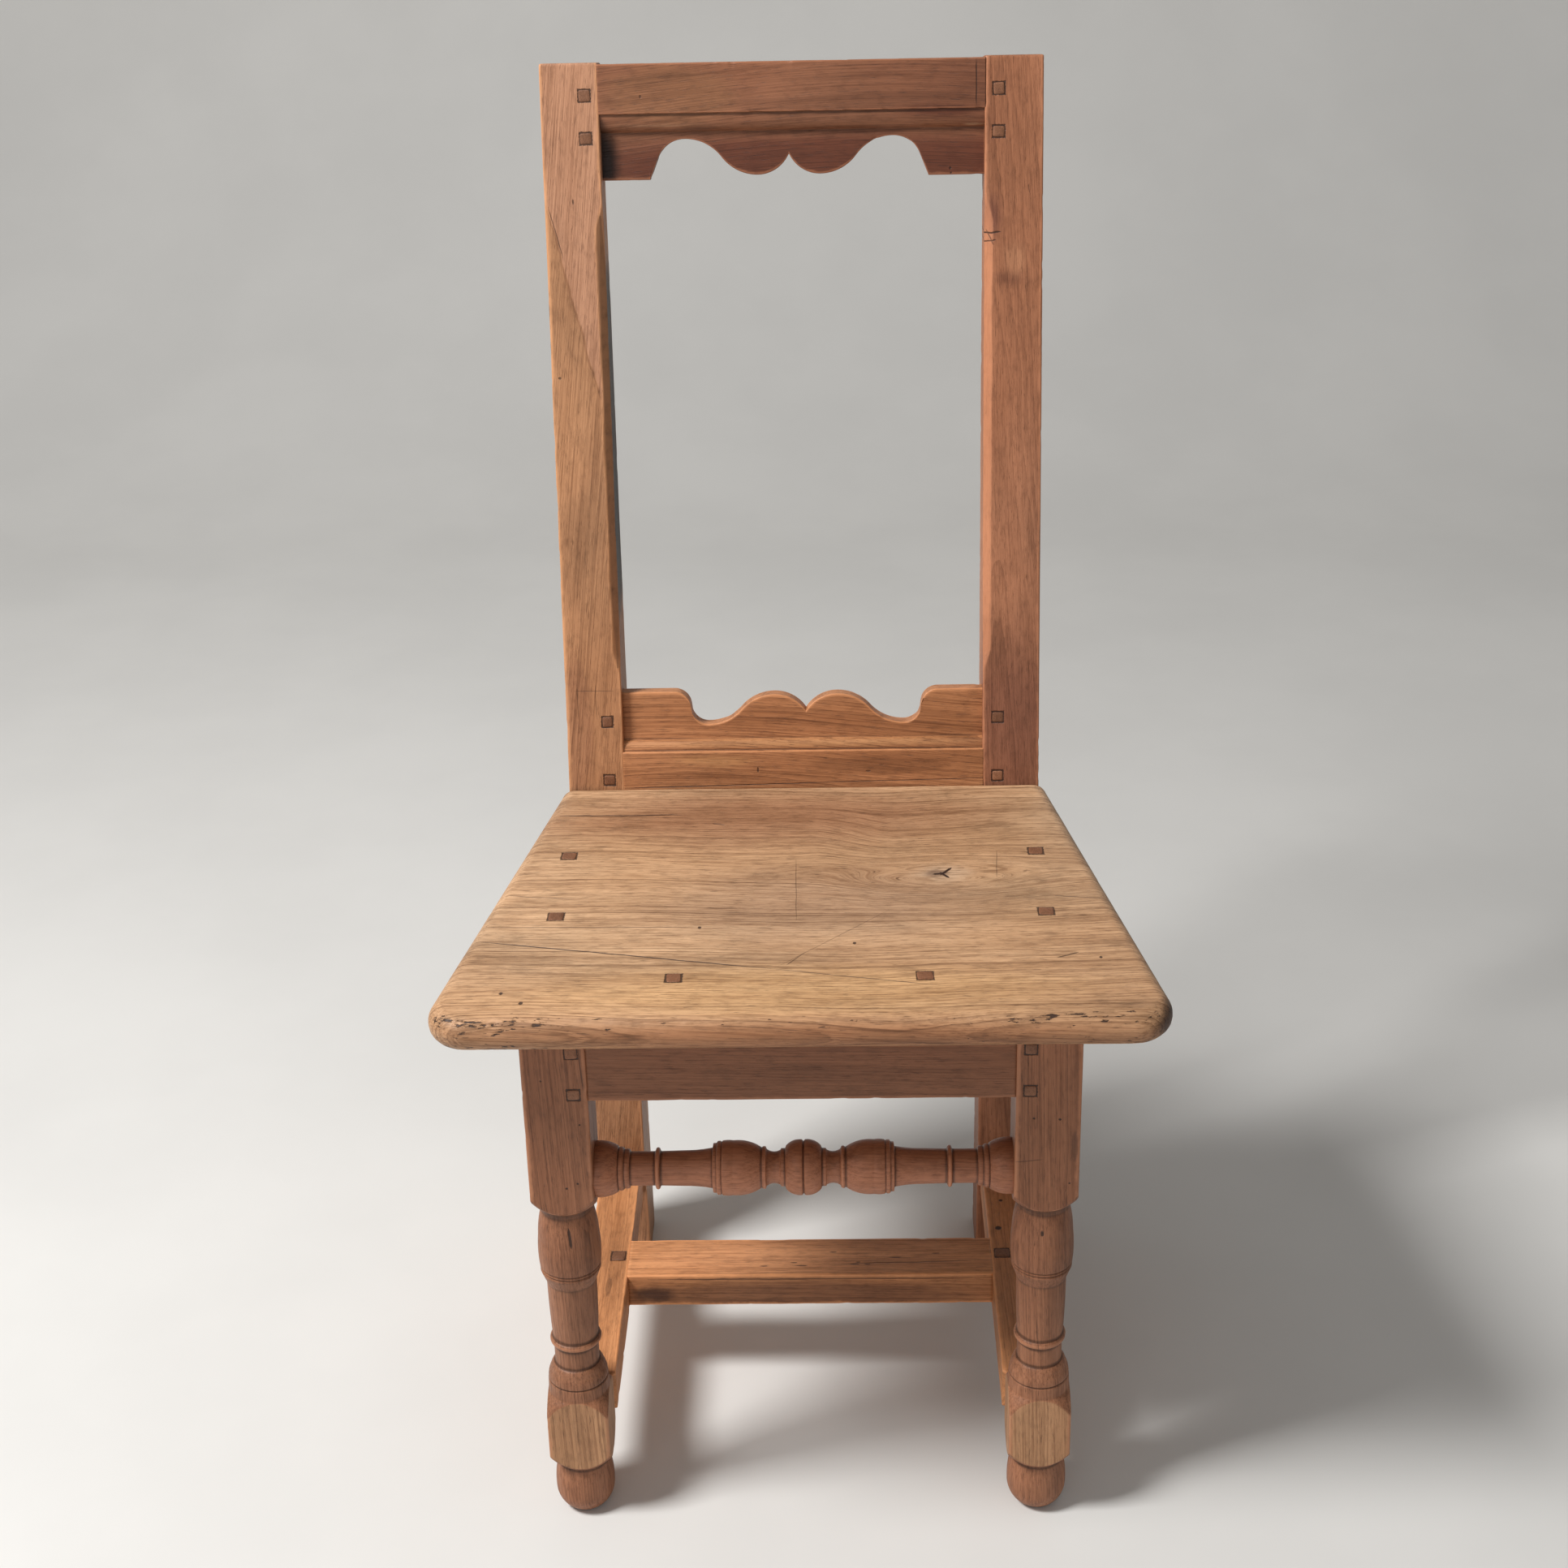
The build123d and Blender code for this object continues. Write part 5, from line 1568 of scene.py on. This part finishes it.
def right_post_tints():
    """Dark bruise over the knot, clouds below it, and a redder foot."""
    return [
        cloud(paint(112, 66, 54), 0.7, on_slope(147, 456), (13, 30, 26), 0.6, 0.8),
        cloud(paint(126, 78, 56), 0.6, on_slope(162, 411), (17, 30, 9), 0.9, 0.8),
        cloud(paint(204, 146, 108), 0.5, on_slope(166, 425), (12, 30, 18), 0.5, 0.8),
        cloud(paint(132, 82, 64), 0.6, on_slope(165, 60), (60, 60, 110), 0.4, 0.8),
    ]


def right_post_marks():
    """Cracks across the knot on the inner arris of the right post, and one near its top."""
    return [
        line(on_slope(141, 443.5), on_slope(155, 446), 0.9, 3.0, 0.85),
        line(on_slope(142, 437), on_slope(151.5, 440), 0.7, 3.0, 0.75),
        line(on_slope(144, 447), on_slope(150, 436), 0.6, 3.0, 0.6),
        line(on_slope(176, 480), on_slope(177, 474), 0.5, 3.0, 0.5),
    ]


class MakeCrestRail(bpy.types.Operator):
    """Make the scalloped crest rail"""

    bl_idname = "chair.make_crest_rail"
    bl_label = "Crest rail"

    def execute(self, context):
        sizes, colours = context.scene.chair_sizes, context.scene.chair_colours
        surface = rail_surface(
            sizes,
            sizes.seed + 12,
            edge_line=crest_edge,
            plain_v=crest_top_v,
            band_v=crest_band_v,
            thin_v=crest_band_v - crest_moulding,
            thickness=crest_thickness,
            recess=crest_recess,
            stop=post_inner_x - crest_flat,
            shift=crest_shift,
        )
        material = wood_material(
            "crest rail wood",
            tuple(colours.crest),
            marks=crest_marks(),
            tints=crest_tints(),
            ring_width=6.0 * MM,
            figure=14 * MM,
            rings=0.5,
            streaks=0.7,
            stretch=(0.35, 1, 1),
            sunk=0.35,
        )
        make_piece("crest_rail_board", [surface], material, ["crest_rail"])
        return {"FINISHED"}


def crest_marks():
    """Upright crack near the right end of the band, a knock, and nail holes in the thin part."""
    return [
        line(on_crest(137, 35), on_crest(137, 2), 0.6, 1.2, 0.8),
        spot(on_crest(-112, 12.5), (1.0, 3, 1.4), 0.6),
        spot(on_crest(118, -43.5, -10), (1.0, 3, 1.2), 0.9, 0.3),
        spot(on_crest(118.5, -47, -10), (0.8, 3, 0.8), 0.9, 0.3),
    ]


def crest_tints():
    """Thin board darker as old wax and painted shade of its recess, painted shade to the right, a
    painted shadow of the left post in the left corner, a lighter left end, and pale chips.
    """
    dark, pale = paint(96, 48, 30), paint(206, 164, 130)
    return [
        cloud(paint(150, 104, 70), 0.5, on_crest(-90, 12), (60, 30, 26)),
        cloud(dark, 0.75, on_crest(110, -2), (46, 20, 8), 0.8, 0.8),
        # thin board darker, partly old wax and partly painted shade of its recess
        cloud(dark, 0.88, on_crest(30, -40.5), (260, 40, 30), 0.3),
        # painted shade: darker towards the right end, where the light falls off
        cloud(dark, 0.45, on_crest(150, 16.5), (130, 40, 60), 0.3, 1.0),
        # painted shadow of the left post, in the left corner of the thin board
        cloud(paint(26, 15, 12), 0.9, on_crest(-150, -36.5), (24, 40, 42), 0.15, 0.45),
        cloud(pale, 0.6, on_crest(136, -12, -4), (11, 8, 1.6), 1.0, 0.6),
        cloud(pale, 0.4, on_crest(-100, -9), (60, 8, 2.2), 0.9, 0.9),
    ]


class MakeLowerBackRail(bpy.types.Operator):
    """Make the scalloped lower back rail"""

    bl_idname = "chair.make_lower_back_rail"
    bl_label = "Lower back rail"

    def execute(self, context):
        sizes, colours = context.scene.chair_sizes, context.scene.chair_colours
        surface = rail_surface(
            sizes,
            sizes.seed + 23,
            edge_line=low_rail_edge,
            plain_v=0.0,
            band_v=low_rail_band,
            thin_v=low_rail_band + low_rail_moulding,
            thickness=low_rail_thickness,
            recess=low_rail_recess,
            stop=post_inner_x - low_rail_flat,
            shift=low_rail_shift,
        )
        material = wood_material(
            "lower back rail wood",
            tuple(colours.low_rail),
            marks=low_rail_marks(),
            tints=low_rail_tints(),
            ring_width=4.0 * MM,
            figure=13 * MM,
            rings=0.8,
            streaks=0.9,
            stretch=(0.35, 1, 1),
            sunk=0.4,
        )
        make_piece("lower_rail_board", [surface], material, ["lower_back_rail"])
        return {"FINISHED"}


def low_rail_marks():
    """Long cracks near the foot of the band, a dark line under the step, and two knocks."""
    step = low_rail_band / MM
    return [
        line(on_slope(-143, 12), on_slope(20, 15), 0.5, 1.2, 0.8),
        line(on_slope(10, 15), on_slope(143, 17), 0.45, 1.2, 0.7),
        line(on_slope(-143, step + 1), on_slope(143, step), 0.6, 1.0, 0.4),
        spot(on_slope(-36, 26), (0.9, 3, 2.4), 0.75, 0.5),
        spot(on_slope(52, 24), (2.4, 3, 0.8), 0.6, 0.8),
    ]


def low_rail_tints():
    """Golden wood on the left of the band, a painted highlight along the moulding, and a darker
    right side.
    """
    golden = paint(206, 152, 100)
    return [
        cloud(golden, 0.5, on_slope(-70, 34), (46, 20, 8), 0.8, 0.8),
        # painted highlight along the upward-facing moulding
        cloud(golden, 0.5, on_slope(0, 47), (220, 20, 5), 0.5, 0.8),
        cloud(paint(132, 84, 52), 0.5, on_slope(60, 28), (70, 20, 9), 0.9),
    ]


class MakeSeatBoard(bpy.types.Operator):
    """Make the plank seat with its round nose"""

    bl_idname = "chair.make_seat_board"
    bl_label = "Seat board"

    def execute(self, context):
        sizes, colours = context.scene.chair_sizes, context.scene.chair_colours
        surface, pitted = seat_surface(sizes, sizes.seed + 31)
        material = wood_material(
            "seat wood",
            tuple(colours.seat),
            marks=peg_seams("seat_pegs") + seat_marks(),
            tints=seat_tints(),
            ring_width=4.4 * MM,
            figure=7 * MM,
            rings=1.0,
            streaks=0.88,
            grime=0.55,
            stretch=(0.4, 1, 1),
        )
        make_piece("seat_plank", [surface], material, ["seat_board"], pitted)
        return {"FINISHED"}


def seat_marks():
    """Cracks, the star in the knot, scratches, nail holes and worn pits along the nose.

    Each line is given by its ends across and back, its width, its wander and its strength, and
    each hole by its place and its size.
    """
    lines = (
        ((-229.7, 69.5), (-19.5, 27.3), 0.75, 1.6, 0.95),
        ((-21, 27.6), (91, 3.1), 0.5, 1.6, 0.75),
        ((97.5, 165), (107, 166.5), 1.6, 1.0, 1.0),
        ((103, 163.5), (111.5, 174.5), 1.6, 1.0, 1.0),
        ((103, 168), (109, 158.5), 1.5, 1.0, 1.0),
        ((-235, 89.6), (-73, 88), 0.45, 1.6, 0.6),
        ((-220, 138), (-167, 131), 0.4, 1.6, 0.6),
        ((184, 128.6), (222, 123.5), 0.5, 2.0, 0.7),
        ((-4.3, 191), (-3, 96), 0.4, 1.0, 0.4),
        ((-17, 28), (63, 110), 0.35, 1.0, 0.4),
        ((-9, 32), (4, 50), 0.6, 1.0, 0.55),
        ((147, 202), (144, 158), 0.45, 1.0, 0.4),
        ((178, 38), (193, 45), 0.9, 3.0, 0.75),
        ((-190, 268.5), (-95, 268.5), 1.2, 4.0, 0.85),
        ((-70, 253), (-60, 250), 0.9, 3.0, 0.7),
    )
    holes = (
        ((-71.7, 87.1), 1.6),
        ((38.3, 62.3), 1.5),
        ((-202, -3), 1.6),
        ((-187, -16), 1.8),
        ((208, 38), 1.3),
    )
    drawn = [
        line(on_seat(*start), on_seat(*end), width, wander, strength, ON_LEVEL)
        for start, end, width, wander, strength in lines
    ]
    bored = [spot(on_seat(*place), (size, size * 1.3, 6), 0.9, 0.9) for place, size in holes]
    return [*drawn, *bored, ("pits", 0.95, {})]


def seat_tints():
    """Wood greyer in the middle, redder at the back, golden in front, pale round the knot, a nose
    darker as scuffed wood and painted shade, and a right front corner darker as end grain and
    painted shade.
    """
    deep = 40.0
    knot = on_seat(*(np.array(seat_knot) / MM))
    places = (
        (paint(178, 142, 114), 0.6, on_seat(10, 120), (190, 80, deep), 0.7, 0.8),
        (paint(168, 120, 88), 0.8, on_seat(-30, 262), (250, 66, deep), 0.5, 0.8),
        (paint(218, 172, 122), 0.75, on_seat(0, -2), (262, 46, 24), 0.5, 0.7),
        (paint(206, 172, 140), 0.8, knot, (30, 20, deep), 0.5, 0.7),
        (paint(136, 108, 88), 0.8, knot - [5 * MM, 0, 0], (13, 8, deep), 0.7, 0.7),
        # nose darker, partly scuffed wood and partly painted shade where the round nose turns from
        # the light
        (paint(174, 118, 80), 0.9, on_seat(0, -44, 15), (400, 25, 21), 0.4, 0.8),
        # right front corner darker, partly end grain and partly painted shade on the side away
        # from the light
        (paint(84, 54, 38), 0.95, on_seat(252, -26, 14), (20, 32, 17), 0.5, 0.6),
    )
    return [cloud(*place) for place in places]


class MakeSeatRails(bpy.types.Operator):
    """Make the four rails under the seat"""

    bl_idname = "chair.make_seat_rails"
    bl_label = "Seat rails"

    def execute(self, context):
        sizes, colours = context.scene.chair_sizes, context.scene.chair_colours
        colour = tuple(colours.seat_rails)
        looks = {"figure": 9 * MM, "ring_width": 4.6 * MM}
        level = wood_material("seat rail wood", colour, stretch=(0.35, 1, 1), **looks)
        deep = wood_material("side rail wood", colour, stretch=(1, 0.35, 1), **looks)
        leg_inner = leg_low[0]
        rows = (
            ("front_seat_rail", 0, level, (-leg_inner, leg_inner)),
            ("rear_seat_rail", 0, level, (-post_inner_x, post_inner_x)),
            ("left_side_seat_rail", 1, deep, (leg_high[1], post_front_y)),
            ("right_side_seat_rail", 1, deep, (leg_high[1], post_front_y)),
        )
        for k, (node, along, material, ends) in enumerate(rows):
            low, high = node_box(node)
            low[along], high[along] = ends
            surface = board(low, high, along, sizes, sizes.seed + 40 + k)
            name = node.replace("seat_rail", "rail_board")
            make_piece(name, [surface], material, [node])
        return {"FINISHED"}


class MakeFrontLegs(bpy.types.Operator):
    """Make the two turned front legs"""

    bl_idname = "chair.make_front_legs"
    bl_label = "Front legs"

    def execute(self, context):
        sizes, colours = context.scene.chair_sizes, context.scene.chair_colours
        for word, side in SIDES:
            pegs = peg_seams(
                "front_rail_pegs",
                "side_rail_front_pegs",
                "side_stretcher_front_pegs",
            )
            material = wood_material(
                word + " leg wood",
                tuple(colours.legs),
                marks=pegs + leg_marks(side),
                ring_width=3.4 * MM,
                figure=6 * MM,
                rings=0.7,
                streaks=0.8,
                grime=0.45,
                stretch=(1, 1, 0.4),
                bare=tuple(colours.bare),
            )
            surface, faceted = leg_surface(side, sizes, sizes.seed + 60 + side)
            node = word + "_front_leg"
            make_piece(word + "_turned_leg", [surface], material, [node], faceted)
        return {"FINISHED"}


def leg_marks(side):
    """Nail holes, knocks and short cracks in the front of a leg, which differ by side."""
    front = leg_low[1]
    x = side * (leg_low[0] + leg_high[0]) / 2

    def at(across, height):
        """Place on the front of this leg, from millimetres off its axis and up."""
        return (x + across * MM, front, height * MM)

    if side < 0:
        return [
            spot(at(4, 299), (1.1, 4, 1.1), 0.9, 0.4),
            spot(at(12, 303), (1.0, 4, 1.0), 0.9, 0.4),
            spot(at(16, 352), (0.9, 4, 0.9), 0.9, 0.4),
            spot(at(-9, 388), (0.9, 4, 0.9), 0.8, 0.4),
            line(at(3, 263), at(4, 247), 1.3, 1.0),
            spot(at(-21, 240), (4, 9, 7), 0.45, 0.9),
            line(at(18, 420), at(20, 380), 0.5, 1.5, 0.6),
        ]
    return [
        spot(at(-10, 354), (1.0, 4, 1.0), 0.9, 0.4),
        spot(at(8, 353), (1.2, 4, 1.2), 0.9, 0.4),
        spot(at(16, 300), (0.9, 4, 0.9), 0.8, 0.4),
        spot(at(-2, 256), (1.5, 5, 3.0), 0.9),
        spot(at(19, 330), (3, 6, 14), 0.4, 0.9),
        line(at(-23, 318), at(-3, 320), 0.5, 1.0, 0.5),
        line(at(-4, 178), at(-2, 146), 0.6, 1.5, 0.4),
    ]


class MakeTurnedStretcher(bpy.types.Operator):
    """Make the turned front stretcher"""

    bl_idname = "chair.make_turned_stretcher"
    bl_label = "Turned stretcher"

    def execute(self, context):
        sizes, colours = context.scene.chair_sizes, context.scene.chair_colours
        material = wood_material(
            "turned stretcher wood",
            tuple(colours.turned),
            ring_width=3.2 * MM,
            rings=0.4,
            grime=0.45,
            gloss=0.38,
            stretch=(0.5, 1, 1),
        )
        surface = turned_stretcher_surface(sizes, sizes.seed + 71)
        node = "front_turned_stretcher"
        make_piece("turned_stretcher_spindle", [surface], material, [node])
        return {"FINISHED"}


class MakeLowStretchers(bpy.types.Operator):
    """Make the low H of stretchers"""

    bl_idname = "chair.make_low_stretchers"
    bl_label = "Low stretchers"

    def execute(self, context):
        sizes, colours = context.scene.chair_sizes, context.scene.chair_colours
        colour = tuple(colours.stretchers)
        looks = {"ring_width": 4 * MM, "figure": 9 * MM, "grime": 0.5}
        cross_wood = wood_material(
            "cross stretcher wood",
            colour,
            marks=cross_marks(),
            tints=cross_tints(),
            streaks=0.75,
            stretch=(0.35, 1, 1),
            **looks,
        )
        long_wood = wood_material(
            "side stretcher wood",
            colour,
            marks=peg_seams("cross_stretcher_pegs") + side_stretcher_marks(),
            stretch=(1, 0.35, 1),
            **looks,
        )
        for k, (word, _) in enumerate(SIDES):
            node = word + "_side_stretcher"
            low, high = node_box(node)
            low[1], high[1] = leg_high[1], post_front_y + stretcher_overrun
            surface = board(low, high, 1, sizes, sizes.seed + 80 + k)
            make_piece(word + "_side_bar", [surface], long_wood, [node])
        inner = node_box("right_side_stretcher")[0][0]
        low, high = node_box("cross_stretcher")
        low[0], high[0] = -inner, inner
        surface = board(low, high, 0, sizes, sizes.seed + 90)
        make_piece("cross_bar", [surface], cross_wood, ["cross_stretcher"])
        return {"FINISHED"}


def cross_marks():
    """Dark pitted grain along the top of the cross stretcher and near its right end."""
    low, high = node_box("cross_stretcher")
    top = high[2]
    random = np.random.default_rng(8)
    marks = []
    for _ in range(9):
        x = random.uniform(-0.04, 0.14)
        y = low[1] + random.uniform(8, 30) * MM
        marks.append(spot((x, y, top), (random.uniform(2, 7), 0.8, 3), 0.75, 0.9))
    start, end = (0.02, low[1] + 14 * MM, top), (0.13, low[1] + 17 * MM, top)
    marks.append(line(start, end, 0.7, 2.5, 0.6, ON_LEVEL))
    start, end = (-0.13, low[1], top - 4 * MM), (0.13, low[1], top - 4 * MM)
    marks.append(line(start, end, 0.8, 1.5, 0.6))
    return marks


def cross_tints():
    """Charred left end of the cross stretcher, its front darker as dirt and painted shade, and its
    top lightened as painted light.
    """
    low, high = node_box("cross_stretcher")
    front, foot = low[1], low[2]
    places = (
        (paint(58, 36, 26), 0.85, (-0.125, front, foot + 10 * MM), (24, 3, 12), 0.8, 0.7),
        # front darker, partly dirt and partly painted shade
        (paint(96, 58, 42), 0.6, (0.0, front, foot + 8 * MM), (180, 3, 18), 0.5, 0.5),
        # painted light: the whole top lightened, as where the light falls on it
        (paint(238, 170, 120), 0.8, (0.0, front + 22 * MM, high[2]), (260, 34, 6), 0.4, 0.8),
    )
    return [cloud(*place) for place in places]


def side_stretcher_marks():
    """Two holes in the top of the right side stretcher, and a stain on the left one."""
    top = node_box("right_side_stretcher")[1][2]
    front = leg_low[1]
    return [
        spot((154.6 * MM, front + 222.3 * MM, top), (3.2, 3.2, 3), 0.95, 0.4),
        spot((159.2 * MM, front + 260.6 * MM, top), (2.0, 2.0, 3), 0.9, 0.4),
        spot((-160 * MM, front + 150 * MM, top), (3, 14, 3), 0.4, 0.9),
    ]


class MakePegs(bpy.types.Operator):
    """Make the square pegs that hold the joints"""

    bl_idname = "chair.make_pegs"
    bl_label = "Pegs"

    def execute(self, context):
        sizes, colours = context.scene.chair_sizes, context.scene.chair_colours
        material = wood_material(
            "peg wood", tuple(colours.pegs), ring_width=1.5 * MM, figure=2 * MM, grime=0.3
        )
        seed = sizes.seed
        for node, heads in peg_list.items():
            surfaces = []
            for centre, out, half in heads:
                seed += 1
                up = np.array([0.0, 1, 0]) if out[2] > 0.9 else np.array([0.0, 0, 1])
                up = up - (up @ out) * out
                up /= np.linalg.norm(up)
                surfaces.append(peg_surface(centre, up, out, half, sizes, seed))
            make_piece(node.replace("pegs", "peg_heads"), surfaces, material, [node])
        return {"FINISHED"}


# ------- studio
CAMERA_PLACE = (0.030863, -1.579445, 1.273137)
CAMERA_YAW = -0.0238
CAMERA_PITCH = 0.4093
CAMERA_ROLL = -0.0225
CAMERA_SHIFT = (-0.00344, -0.0518)
SWEEP = {"half": 6.0, "front": -5.0, "back": 3.2, "radius": 1.2, "height": 6.0}
KEY_LAMP = {"place": (-1.6, -0.75, 2.6), "target": (0, 0, 0.5), "size": 0.7}
FILL_LAMP = {"place": (-0.9, -3.0, 0.9), "target": (0, 0, 0.4), "size": 1.6}
FILL_SHARE = 0.1  # of the power of the key lamp


def camera_turn(yaw, pitch, roll):
    """Rotation of a camera that looks along +Y, turned right, then down, then rolled."""
    flat = math.cos(pitch)
    ahead = np.array([math.sin(yaw) * flat, math.cos(yaw) * flat, -math.sin(pitch)])
    level = np.array([math.cos(yaw), -math.sin(yaw), 0.0])
    upward = np.cross(level, ahead)
    right = level * math.cos(roll) + upward * math.sin(roll)
    up = upward * math.cos(roll) - level * math.sin(roll)
    return Matrix(np.stack([right, up, -ahead], axis=1).tolist())


def floor_material(colour):
    """Matt paper with a faint mottle."""
    material = bpy.data.materials.new("studio paper")
    material.use_nodes = True
    tree = material.node_tree
    tree.nodes.clear()
    position = add_node(tree, "ShaderNodeTexCoord").outputs["Object"]
    mottle = ramp(tree, noise(tree, position, 3.0, 4.0), 0.3, 0.7)
    base = mixed(tree, mottle, shade(colour, 0.97), shade(colour, 1.02))
    shader = add_node(tree, "ShaderNodeBsdfPrincipled", {"Base Color": base, "Roughness": 0.85})
    output = add_node(tree, "ShaderNodeOutputMaterial")
    tree.links.new(shader.outputs[0], output.inputs["Surface"])
    return material


def sweep_mesh(half, front, back, radius, height):
    """Floor that turns up into a wall by a quarter circle."""
    turn = np.linspace(0, math.pi / 2, 25)
    y = np.concatenate([[front], back - radius + radius * np.sin(turn), [back]])
    z = np.concatenate([[0.0], radius - radius * np.cos(turn), [height]])
    x = np.array([-half, half])
    points = np.stack(np.broadcast_arrays(x, y[:, None], z[:, None]), axis=-1)
    grid = np.arange(len(y) * 2).reshape(-1, 2)
    quads = np.stack([grid[:-1, 0], grid[:-1, 1], grid[1:, 1], grid[1:, 0]], axis=-1)
    mesh = bpy.data.meshes.new("studio_sweep")
    mesh.from_pydata(points.reshape(-1, 3).tolist(), [], quads.tolist())
    mesh.polygons.foreach_set("use_smooth", np.ones(len(quads), dtype=bool))
    return mesh


def area_lamp(name, place, target, size, power):
    """Square lamp at a place, turned to a target."""
    lamp = bpy.data.lights.new(name, "AREA")
    lamp.size = size
    lamp.energy = power
    holder = bpy.data.objects.new(name, lamp)
    ahead = np.array(target, float) - np.array(place, float)
    ahead /= np.linalg.norm(ahead)
    level = np.cross(ahead, [0, 0, 1])
    level /= np.linalg.norm(level)
    turn = Matrix(np.stack([level, np.cross(level, ahead), -ahead], axis=1).tolist())
    holder.matrix_world = Matrix.Translation(place) @ turn.to_4x4()
    bpy.context.scene.collection.objects.link(holder)
    return holder


class SetStage(bpy.types.Operator):
    """Set the paper sweep, the lamps, the even light and the camera"""

    bl_idname = "chair.set_stage"
    bl_label = "Studio"

    def execute(self, context):
        scene, studio = context.scene, context.scene.chair_studio
        sweep = bpy.data.objects.new("studio_sweep", sweep_mesh(**SWEEP))
        sweep.data.materials.append(floor_material(tuple(studio.floor)))
        scene.collection.objects.link(sweep)
        key = area_lamp("key_lamp", power=studio.key, **KEY_LAMP)
        fill = area_lamp("fill_lamp", power=studio.key * FILL_SHARE, **FILL_LAMP)
        world = bpy.data.worlds.new("studio")
        world.use_nodes = True
        background = world.node_tree.nodes["Background"]
        background.inputs["Color"].default_value = (1, 1, 1, 1)
        background.inputs["Strength"].default_value = studio.fill
        scene.world = world
        scene.view_settings.view_transform = "Standard"
        lens = bpy.data.cameras.new("chair_camera")
        lens.sensor_width = 36
        lens.lens = studio.lens
        lens.shift_x, lens.shift_y = CAMERA_SHIFT
        camera = bpy.data.objects.new("chair_camera", lens)
        turn = camera_turn(CAMERA_YAW, CAMERA_PITCH, CAMERA_ROLL)
        camera.matrix_world = Matrix.Translation(CAMERA_PLACE) @ turn.to_4x4()
        scene.collection.objects.link(camera)
        scene.camera = camera
        return {"FINISHED"}


PIECE_OPERATORS = (
    MakeBackPosts,
    MakeCrestRail,
    MakeLowerBackRail,
    MakeSeatBoard,
    MakeSeatRails,
    MakeFrontLegs,
    MakeTurnedStretcher,
    MakeLowStretchers,
    MakePegs,
    SetStage,
)


class ChairPanel(bpy.types.Panel):
    """Lists the pieces of the chair and their settings"""

    bl_idname = "VIEW3D_PT_joined_chair"
    bl_label = "Joined Side Chair"
    bl_space_type = "VIEW_3D"
    bl_region_type = "UI"
    bl_category = "Chair"

    def draw(self, context):
        scene = context.scene
        for group in (scene.chair_sizes, scene.chair_colours, scene.chair_studio):
            for key in group.__annotations__:
                self.layout.prop(group, key)
        for operator in PIECE_OPERATORS:
            self.layout.operator(operator.bl_idname)


CLASSES = (ChairSizes, ChairColours, StudioSettings, *PIECE_OPERATORS, ChairPanel)


def register():
    """Register the classes and hang the settings on the scene."""
    for each in CLASSES:
        bpy.utils.register_class(each)
    bpy.types.Scene.chair_sizes = PointerProperty(type=ChairSizes)
    bpy.types.Scene.chair_colours = PointerProperty(type=ChairColours)
    bpy.types.Scene.chair_studio = PointerProperty(type=StudioSettings)


def unregister():
    """Take the settings off the scene and unregister the classes."""
    del bpy.types.Scene.chair_studio
    del bpy.types.Scene.chair_colours
    del bpy.types.Scene.chair_sizes
    for each in reversed(CLASSES):
        bpy.utils.unregister_class(each)


def main():
    """Make every piece and the studio."""
    register()
    for operator in PIECE_OPERATORS:
        group, name = operator.bl_idname.split(".")
        getattr(getattr(bpy.ops, group), name)()


if __name__ == "__main__":
    main()
